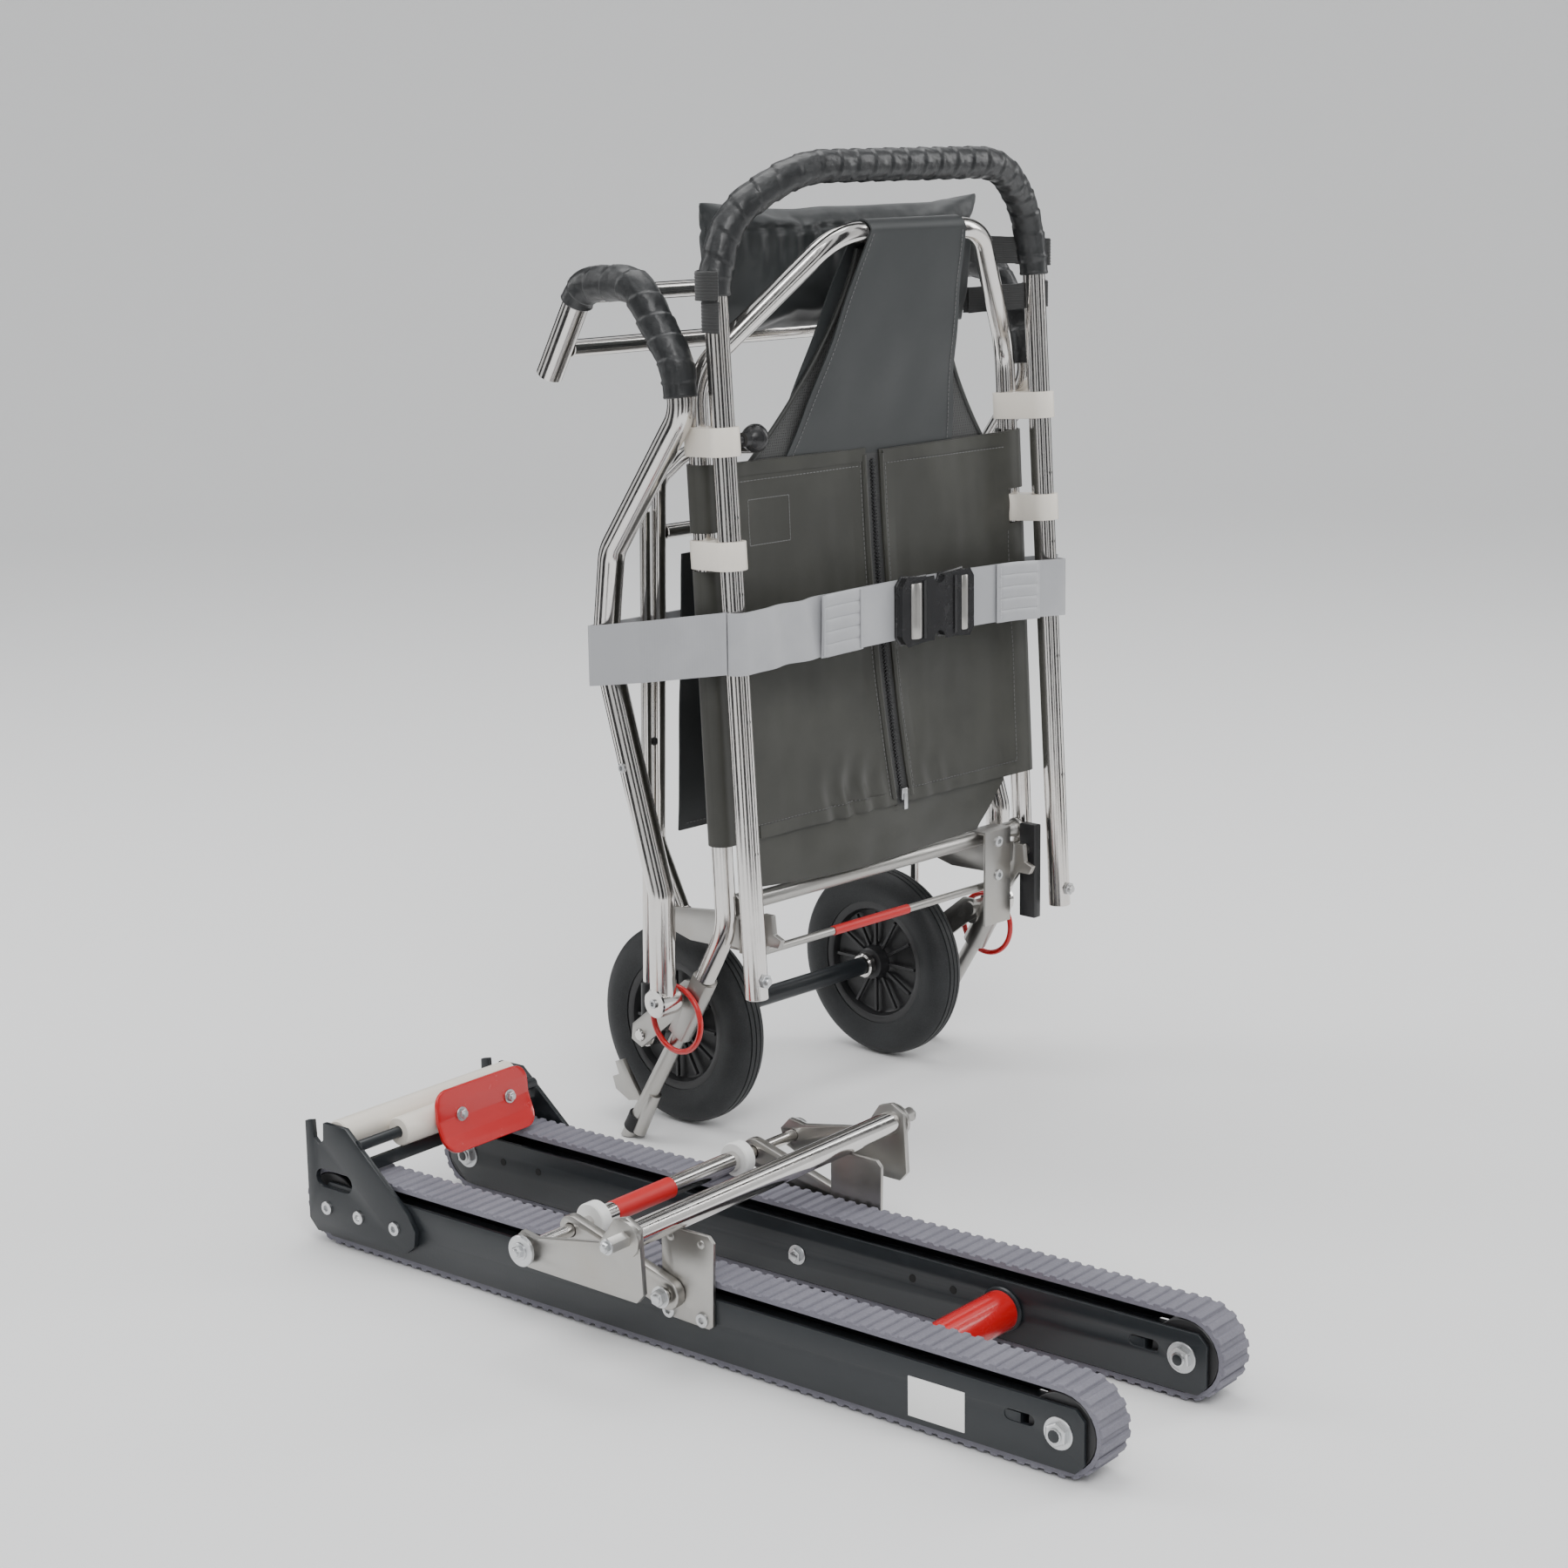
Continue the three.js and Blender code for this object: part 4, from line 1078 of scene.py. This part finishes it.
# stitching beside the zip, down the sleeves, along the hems and round the patch
rear = (0, -1, 0)
rows = []
for s in (-1, 1):
    rows += stitchRow([facePoint(zipX(z) + s * 17.5, z, 0.9) for z in stepped(322, 330, 60)], rear)
    rows += stitchRow([facePoint(s * 198, z, 0.9) for z in stepped(318, 244, 40)], rear)
    for z, start, reach in ((326.5, 30, 168), (645.5, 20, 176)):
        rows += stitchRow([facePoint(s * x, z, 1.0) for x in stepped(start, reach, 30)], rear)
patch = [Vector(corner) for corner in ((-172, 628), (-118, 628), (-118, 586), (-172, 586), (-172, 628))]
for a, b in zip(patch, patch[1:]):
    rows += stitchRow([facePoint(*a.lerp(b, f), 0.8) for f in stepped(0, 1, 12)], rear, 3.6)
copies("panelStitches", "stitch", rows, "thread")


# the lower flap, cut off at a slant on the right, hangs below the panel's hem
lowerDims = dict(left=-203, wide=380, low=268, top=324, corner=137, slant=1.05, bow=8)


def lowerPoint(u, v):
    x = lowerDims["left"] + lowerDims["wide"] * u
    past = x - lowerDims["corner"]
    low = lowerDims["low"] + (lowerDims["slant"] * past if past >= 0
                              else -lowerDims["bow"] * math.sin(math.pi * u))
    z = low + (lowerDims["top"] - low) * v
    y = backY(z) - 9.0 + 1.3 * noiseAt(Vector((x / 40, z / 30, 2))) + 3.4 * (1 - v) * math.sin(x / 47)
    return (x, y, z)


lower = piece("lowerFlap", gridShape(110, 16, lowerPoint), "cloth", thick=1.6, sharp=60)


# the neck of knitted mesh between the panel and the loop of the back tube
def neckPoint(u, v):
    z = 650 + 202 * v
    t = min(max((z - 660) / 190, 0), 1)
    half = 62 + 103 * (1 - t) ** 1.75
    y = -117.5 - 45 * v + 1.6 * math.sin(math.pi * v)
    return ((2 * u - 1) * half, y + 0.8 * noiseAt(Vector((u * 6, v * 4, 5))), z)


neck = piece("meshNeck", gridShape(60, 48, neckPoint), "mesh", thick=1.2, sharp=60)
binding = Shape()
for u in (0, 1):
    binding.add(tubeShape([Vector(neckPoint(u, v)) for v in stepped(0, 1, 60)], 2.6, 12))
piece("neckBinding", binding, "hem")


# the head flap goes over the loop and down both sides of it, the front layer wider
def flapProfile():
    top = Vector((0, -172, 866))
    behind = [Vector((0, -121.4 - 61 * f, 662 + 204 * f)) for f in stepped(0, 1, 26)]
    over = [top + Vector((0, -11.4 * math.cos(a), 11.4 * math.sin(a)))
            for a in stepped(0, math.pi, 12)[1:-1]]
    front = [Vector((0, -160.6 + 45 * f, 866 - 208 * f)) for f in stepped(0, 1, 26)]
    return [Vector((0, -118.6, 640))] + behind + over + front


flapLine = flapProfile()


def flapPoint(u, v):
    p = onLine(flapLine, v)
    drop = min(max((868 - p.z) / 208, 0), 1.1)
    behind = 1 if v < 0.5 else 0
    half = 66 + (53 if behind else 68) * drop ** 0.92
    half *= 1 - 0.05 * math.sin(math.pi * drop) * (1 if behind else 0.3)
    x = (2 * u - 1) * half
    wave = 1.3 * noiseAt(Vector((x / 50, p.z / 90, 3 * behind))) * math.sin(math.pi * min(drop, 1)) * 1.5
    edge = 0.8 * (abs(2 * u - 1) ** 8) * math.sin(p.z / 14)
    rise = 1.8 * math.sin(math.pi * min(drop, 1)) * (1 - (2 * u - 1) ** 2)
    return (x - 3 * drop * (1 - behind), p.y + wave + edge - rise * behind, p.z)


flap = piece("headFlap", gridShape(44, 132, flapPoint), "flap", "chair_frame", "head_flap", thick=1.8,
      sharp=60)
flapRows = []
for u in (0.035, 0.965):
    points = [Vector(flapPoint(u, v)) + Vector((0, -1.25, -0.2)) for v in stepped(0.015, 0.4, 50)]
    flapRows += stitchRow(points, (0, -1, -0.28))
copies("flapStitches", "stitch", flapRows, "thread")
print("back panels, zip, neck and flaps")


# the sling on the folded seat
slingDims = dict(left=-166, wide=332, low=300, tall=270)


def slingPoint(u, v):
    x = slingDims["left"] + slingDims["wide"] * u
    z = slingDims["low"] + slingDims["tall"] * v
    y = -18.4 - 12 * v + 1.4 * noiseAt(Vector((x / 60, z / 60, 9)))
    y -= 2.4 * math.sin(math.pi * v) * math.sin(math.pi * u)
    return (x, y, z + 2.2 * math.sin(math.pi * u) * (1 if v > 0.9 else 0))


sling = piece("seatSling", gridShape(70, 56, slingPoint), "flap", "seat", "seat_sling", thick=2.2, sharp=60)
slingRows = []
for z in (306, 564):
    v = (z - slingDims["low"]) / slingDims["tall"]
    run = [Vector(slingPoint(u, v)) + Vector((0, -1.3, 0)) for u in stepped(0, 1, 40)[1:-1]]
    slingRows += stitchRow(run, rear)
copies("slingStitches", "stitch", slingRows, "thread", "seat")

# head pad: a boxed cushion with pointed corners, puffed up as cloth
padDims = dict(half=186, low=768, tall=129, depth=16, middle=-85, rows=18, around=88, hem=870,
               voxel=5.0, pressure=3.6, frames=20, reach=9.0)


def cushionShape():
    rings = []
    for t in stepped(0, 1, padDims["rows"]):
        z = padDims["low"] + padDims["tall"] * t
        depth = padDims["depth"] * (math.sqrt(max(0.0, 1 - (2 * t - 1) ** 4)) * 0.8 + 0.2)
        half = padDims["half"] + 9 * t ** 2
        ring = []
        for a in stepped(0, 2 * math.pi, padDims["around"])[:-1]:
            c, d = math.cos(a), math.sin(a)
            x = half * math.copysign(abs(c) ** 0.28, c) + 14 * t ** 5 * max(0.0, c) ** 2
            taper = 1 - 0.55 * min(max(0.0, abs(x) / half - 0.82) / 0.18, 1.0)
            y = padDims["middle"] + depth * math.copysign(abs(d) ** 0.7, d) * taper
            ring.append(Vector((x, y, z)))
        rings.append(ring)
    return closedRings(rings)


def puffUp(obj):
    # remeshed evenly, blown up as cloth, then kept near its first form
    remesh = obj.modifiers.new("even", "REMESH")
    remesh.mode = "VOXEL"
    remesh.voxel_size = padDims["voxel"] * mm
    bakeModifiers(obj)
    start = [v.co.copy() for v in obj.data.vertices]
    cloth = obj.modifiers.new("cloth", "CLOTH")
    rules = cloth.settings
    rules.use_pressure = True
    rules.uniform_pressure_force = padDims["pressure"]
    rules.tension_stiffness = rules.compression_stiffness = 12
    rules.bending_stiffness = 0.6
    rules.mass = 0.25
    rules.effector_weights.gravity = 0
    cloth.point_cache.frame_start, cloth.point_cache.frame_end = 1, padDims["frames"]
    scene = bpy.context.scene
    for f in range(1, padDims["frames"] + 1):
        scene.frame_set(f)
    bakeModifiers(obj)
    scene.frame_set(1)
    for v, old in zip(obj.data.vertices, start):
        move = v.co - old
        limit = padDims["reach"] * mm
        if move.length > limit:
            v.co = old + move * (limit / move.length)


cushion = cushionShape()
pad = meshObject("headPad", [chair @ Vector(p) for p in cushion.points], cushion.faces)
puffUp(pad)
soft = pad.modifiers.new("soft", "SUBSURF")
soft.levels = soft.render_levels = 1
bakeModifiers(pad)
inverse = chair.inverted()
for v in pad.data.vertices:
    p = inverse @ v.co
    t = (p.z - padDims["low"]) / padDims["tall"]
    out = 1.0 if p.y > padDims["middle"] else -1.0
    # gathers under the top hem and slack creases lower down
    gather = 2.6 * math.exp(-((t - 0.68) / 0.15) ** 2)
    gather *= math.sin(p.x / 3.7 + 1.5 * noiseAt(Vector((p.x / 20, 0, 3))))
    crease = 2.2 * noiseAt(Vector((p.x / 34, p.y / 30, p.z / 22)))
    seam = 2.4 * math.exp(-((p.z - padDims["hem"]) / 2.6) ** 2)
    p.y += out * (gather * 0.7 + crease - seam)
    p.z += 1.4 * noiseAt(Vector((p.x / 45, 4, t * 2))) + 5 * (abs(p.x) / 195) ** 6 * max(t - 0.7, 0)
    v.co = chair @ p
faceOutward(pad.data)
finish(pad, "pad", "handle", "head_pad", sharp=70)


# elastic bands from the posts to the pad
def bandShape(s, low, high, radius, tilt):
    post = Vector((s * postX, postY((low + high) / 2), 0))
    path = [Vector((s * 176, -88, 0))]
    for a in stepped(math.radians(-62), math.radians(206), 16):
        path.append(post + Vector((s * math.sin(a), math.cos(a), 0)) * radius)
    path.append(Vector((s * 176, -95, 0)))
    line = spaced(path, 2.2)

    def at(u, v):
        p = onLine(line, u)
        p = p + (p - post).normalized() * 0.28 * math.sin(18 * math.pi * v)
        slack = tilt * (p.x - post.x) * s + 0.6 * noiseAt(Vector((p.x / 9, p.y / 9, low)))
        return (p.x, p.y, low + (high - low) * v + slack)
    return gridShape(len(line) - 1, 40, at)


bands = Shape()
for s, low, high, radius, tilt in ((-1, 783, 811, 12.6, 0.06), (-1, 813, 838, 16.8, -0.05),
                                   (1, 783, 808, 12.6, 0.10), (1, 825, 851, 16.8, -0.08)):
    bands.add(bandShape(s, low, high, radius, tilt))
piece("elasticBands", bands, "elastic", "handle", thick=1.5, sharp=60)
print("sling, head pad and bands")

# restraint strap
strapDims = dict(rear=-175.3, frontLow=453, tall=57, slope=-0.1625, thick=2.1)


def strapSheet(corners, bend, lowAt, foldAt):
    # a band set on edge along a bent line of (x, y)
    run = bentLine([(x, y, 0) for x, y in corners], bend, 6)
    line = spaced(run, 3.0)
    frames = []
    for i in range(len(line)):
        t = (line[min(i + 1, len(line) - 1)] - line[max(i - 1, 0)]).normalized()
        frames.append(Vector((t.y, -t.x, 0)))

    def at(u, v):
        i = min(int(round(u * (len(line) - 1))), len(line) - 1)
        p = line[i] + frames[i] * foldAt(line[i], v)
        return (p.x, p.y, lowAt(line[i]) + strapDims["tall"] * v)
    return gridShape(len(line) - 1, 12, at)


def backLow(x):
    return 484.5 - 6 * (abs(x) / 239) ** 2 - (3 if x > 150 else 0) * (abs(x) - 150) / 89


def backFold(p, v):
    near = math.exp(-((p.x + 165) / 38) ** 2)
    free = min(1.0, max(0.0, (226 - abs(p.x)) / 30))
    ripple = 3.3 * near * math.sin(p.x / 8.5 + v * 1.6)
    return free * (ripple + 0.7 * noiseAt(Vector((p.x / 40, v * 1.5, 0))))


def frontFold(p, v):
    return 0.5 * noiseAt(Vector((p.x / 60, p.y / 60, v))) * (1 if abs(p.x) < 225 or -130 < p.y < -50 else 0)


backCorners = [(-237.6, -162), (-237.6, strapDims["rear"]), (237.6, strapDims["rear"]), (237.6, -162)]
backShape = strapSheet(backCorners, 11, lambda p: backLow(p.x), backFold)
strapBack = piece("strapBack", backShape, "strap", "chair_frame", "strap_back",
                  thick=strapDims["thick"], sharp=60)
frontCorners = [(-237.7, -160), (-260.2, -72), (-260.2, 6.7), (260.2, 6.7), (260.2, -72), (237.7, -160)]
frontShape = strapSheet(frontCorners, 13, lambda p: strapDims["frontLow"] + strapDims["slope"] * p.y,
                        frontFold)
strapFront = piece("strapFront", frontShape, "strap", "front_frame", "strap_front",
                   thick=strapDims["thick"], sharp=60)


def tabShape(x0, x1):
    # a sewn tab with five ribs across it
    def at(u, v):
        x = x0 + (x1 - x0) * u
        ridge = 1.5 * abs(math.sin(5 * math.pi * v)) ** 0.6 * min(1.0, 8 * u, 8 * (1 - u))
        fold = backFold(Vector((x, strapDims["rear"], 0)), v)
        return (x, -178.2 - ridge + fold, backLow(x) - 0.6 + 58 * v)
    return gridShape(26, 60, at)


tabs = Shape().add(tabShape(-133, -76)).add(tabShape(120, 187))
piece("strapTabs", tabs, "strap", thick=1.1, sharp=60)
bar = Shape()
for x in (-131, -80):
    fold = [Vector((x, y, backLow(x) + z)) for y, z in ((-180.2, 1), (-180.4, 28), (-180.2, 56))]
    bar.add(tubeShape(fold, 1.2, 12))
piece("tabFolds", bar, "strap")
tabRows = []
for x in (-128, -80, 125, 182):
    points = [Vector((x, -179.6, backLow(x) + z)) for z in stepped(3, 51, 10)]
    tabRows += stitchRow(points, rear, 3.4)
copies("tabStitches", "stitch", tabRows, "paleThread", size=0.8)


# the buckle: two halves with thumb notches and bright bars
def buckleOutline():
    low, high = 479.5, 543.5
    notch = [(24 + 9.5 * math.cos(a), high - 2.5 - 8.5 * math.sin(a)) for a in stepped(0, math.pi, 12)]
    upper = [(-28, high - 8), (-21, high), (2, high - 2.5)] + notch[::-1]
    upper += [(48, high - 2.5), (68, high - 1), (73, high - 8)]
    return upper + [(x, low + high - z) for x, z in reversed(upper)]


def plateShape(outline, y0, y1):
    n = len(outline)
    points = [(x, y0, z) for x, z in outline] + [(x, y1, z) for x, z in outline]
    faces = [list(range(n)), list(range(n, 2 * n))[::-1]]
    faces += [[k, (k + 1) % n, n + (k + 1) % n, n + k] for k in range(n)]
    return Shape(points, faces)


piece("buckleBody", plateShape(buckleOutline(), -187.2, -176.9), "gloss", "chair_frame", "buckle",
      bevel=1.8)
tongue = Shape()
for x in (1.5, 46.5):
    tongue.add(plateShape([(x - 1.2, 484), (x + 1.2, 484), (x + 1.2, 539), (x - 1.2, 539)], -188.4, -186.6))
piece("buckleSeams", tongue, "plastic", bevel=0.5)
bars = Shape()
for x, radius in ((-9.5, 8.2), (61, 5.6)):
    bars.add(tubeShape([Vector((x, 0, z)) for z in (485, 498, 511, 525, 538)], radius, 32))
bars.moved(lambda p: Vector((p.x, p.y * 0.62 - 185.2, p.z)))
piece("buckleBars", bars, "satin")
print("strap and buckle")

# the templates go once their copies are made
for obj in templates:
    mesh = obj.data
    bpy.data.objects.remove(obj)
    bpy.data.meshes.remove(mesh)

# a pale floor that curves up all round
stageDims = dict(radius=7.5, wall=5.5, fillet=2.4, floor=-0.0015, sides=96)


def stageShape():
    flat = stageDims["radius"] - stageDims["fillet"]
    profile = [(r, stageDims["floor"]) for r in (0.6, 2.0, flat)]
    for a in stepped(0, math.pi / 2, 12)[1:]:
        profile.append((flat + stageDims["fillet"] * math.sin(a),
                        stageDims["floor"] + stageDims["fillet"] * (1 - math.cos(a))))
    profile.append((stageDims["radius"], stageDims["wall"]))
    n = stageDims["sides"]
    points = [(r * math.cos(2 * math.pi * k / n), r * math.sin(2 * math.pi * k / n), z)
              for r, z in profile for k in range(n)]
    faces = [[i * n + k, (i + 1) * n + k, (i + 1) * n + (k + 1) % n, i * n + (k + 1) % n]
             for i in range(len(profile) - 1) for k in range(n)]
    points.append((0, 0, stageDims["floor"]))
    return points, faces + [[len(points) - 1, k, (k + 1) % n] for k in range(n)]


floor = meshObject("studioFloor", *stageShape())
backdrop = Paint("paleFloor", Roughness=0.7, Specular_IOR_Level=0.0)
backdrop.feed("Base Color", backdrop.blend(backdrop.noise(3.0, 3.0) * 0.3, (0.80, 0.80, 0.80),
                                           (0.84, 0.84, 0.84)))
floor.data.materials.append(backdrop.material)
floor.data.shade_smooth()

world = bpy.data.worlds.new("softSky")
bpy.context.scene.world = world
world.use_nodes = True
sky = world.node_tree.nodes["Background"]
sky.inputs["Color"].default_value = (0.78, 0.79, 0.80, 1)
sky.inputs["Strength"].default_value = 1.15


def softLight(name, spot, aim, size, power, tall=None):
    data = bpy.data.lights.new(name, "AREA")
    data.energy = power
    data.size = size
    if tall:
        data.shape = "RECTANGLE"
        data.size_y = tall
    lamp = bpy.data.objects.new(name, data)
    bpy.context.scene.collection.objects.link(lamp)
    lamp.location = spot
    lamp.rotation_euler = (Vector((0, 0, aim)) - Vector(spot)).to_track_quat("-Z", "Y").to_euler()


softLight("keyLight", (-2.2, -2.6, 3.2), 0.4, 1.8, 96)
softLight("sideLight", (3.0, -1.4, 2.0), 0.4, 1.2, 40, 2.4)
softLight("topLight", (0.4, 0.8, 3.6), 0.3, 2.6, 60)
softLight("rimLight", (-1.6, 3.0, 2.2), 0.5, 1.2, 36, 2.0)

# dark cards seen only in reflections, so that bright tubes show streaks: azimuth and half width
cardDims = dict(radius=1.5, low=0.02, high=2.4)
cards = ((12, 9), (48, 6), (80, 13), (118, 7), (150, 12), (196, 8), (232, 12), (262, 6), (292, 11),
         (330, 8))
darkCard = Paint("darkCard", Roughness=0.9, Base_Color=(0.012, 0.012, 0.014, 1))
for k, (azimuth, wide) in enumerate(cards):
    corners = []
    for a, z in ((-wide, "low"), (wide, "low"), (wide, "high"), (-wide, "high")):
        turn = math.radians(azimuth + a)
        x, y = cardDims["radius"] * math.cos(turn), cardDims["radius"] * math.sin(turn)
        corners.append((x, y, cardDims[z]))
    card = meshObject(f"darkCard{k}", corners, [[0, 1, 2, 3]])
    card.data.materials.append(darkCard.material)
    card.visible_camera = card.visible_diffuse = card.visible_shadow = card.visible_transmission = False

view = dict(spot=(-1.8924, -1.6453, 0.9547), azimuth=-46.19, elevation=12.476, roll=-0.813, lens=67.45)


def cameraTurn(azimuth, elevation, roll):
    a, e, r = (math.radians(v) for v in (azimuth, elevation, roll))
    ahead = Vector((-math.sin(a) * math.cos(e), math.cos(a) * math.cos(e), -math.sin(e)))
    right = Vector((math.cos(a), math.sin(a), 0))
    up = right.cross(ahead)
    right, up = right * math.cos(r) + up * math.sin(r), up * math.cos(r) - right * math.sin(r)
    return Matrix((right, up, -ahead)).transposed().to_4x4()


cameraData = bpy.data.cameras.new("studioCamera")
cameraData.lens = view["lens"]
cameraData.sensor_width = 36
cameraData.clip_start = 0.02
camera = bpy.data.objects.new("studioCamera", cameraData)
bpy.context.scene.collection.objects.link(camera)
turned = cameraTurn(view["azimuth"], view["elevation"], view["roll"])
camera.matrix_world = Matrix.Translation(view["spot"]) @ turned
bpy.context.scene.camera = camera
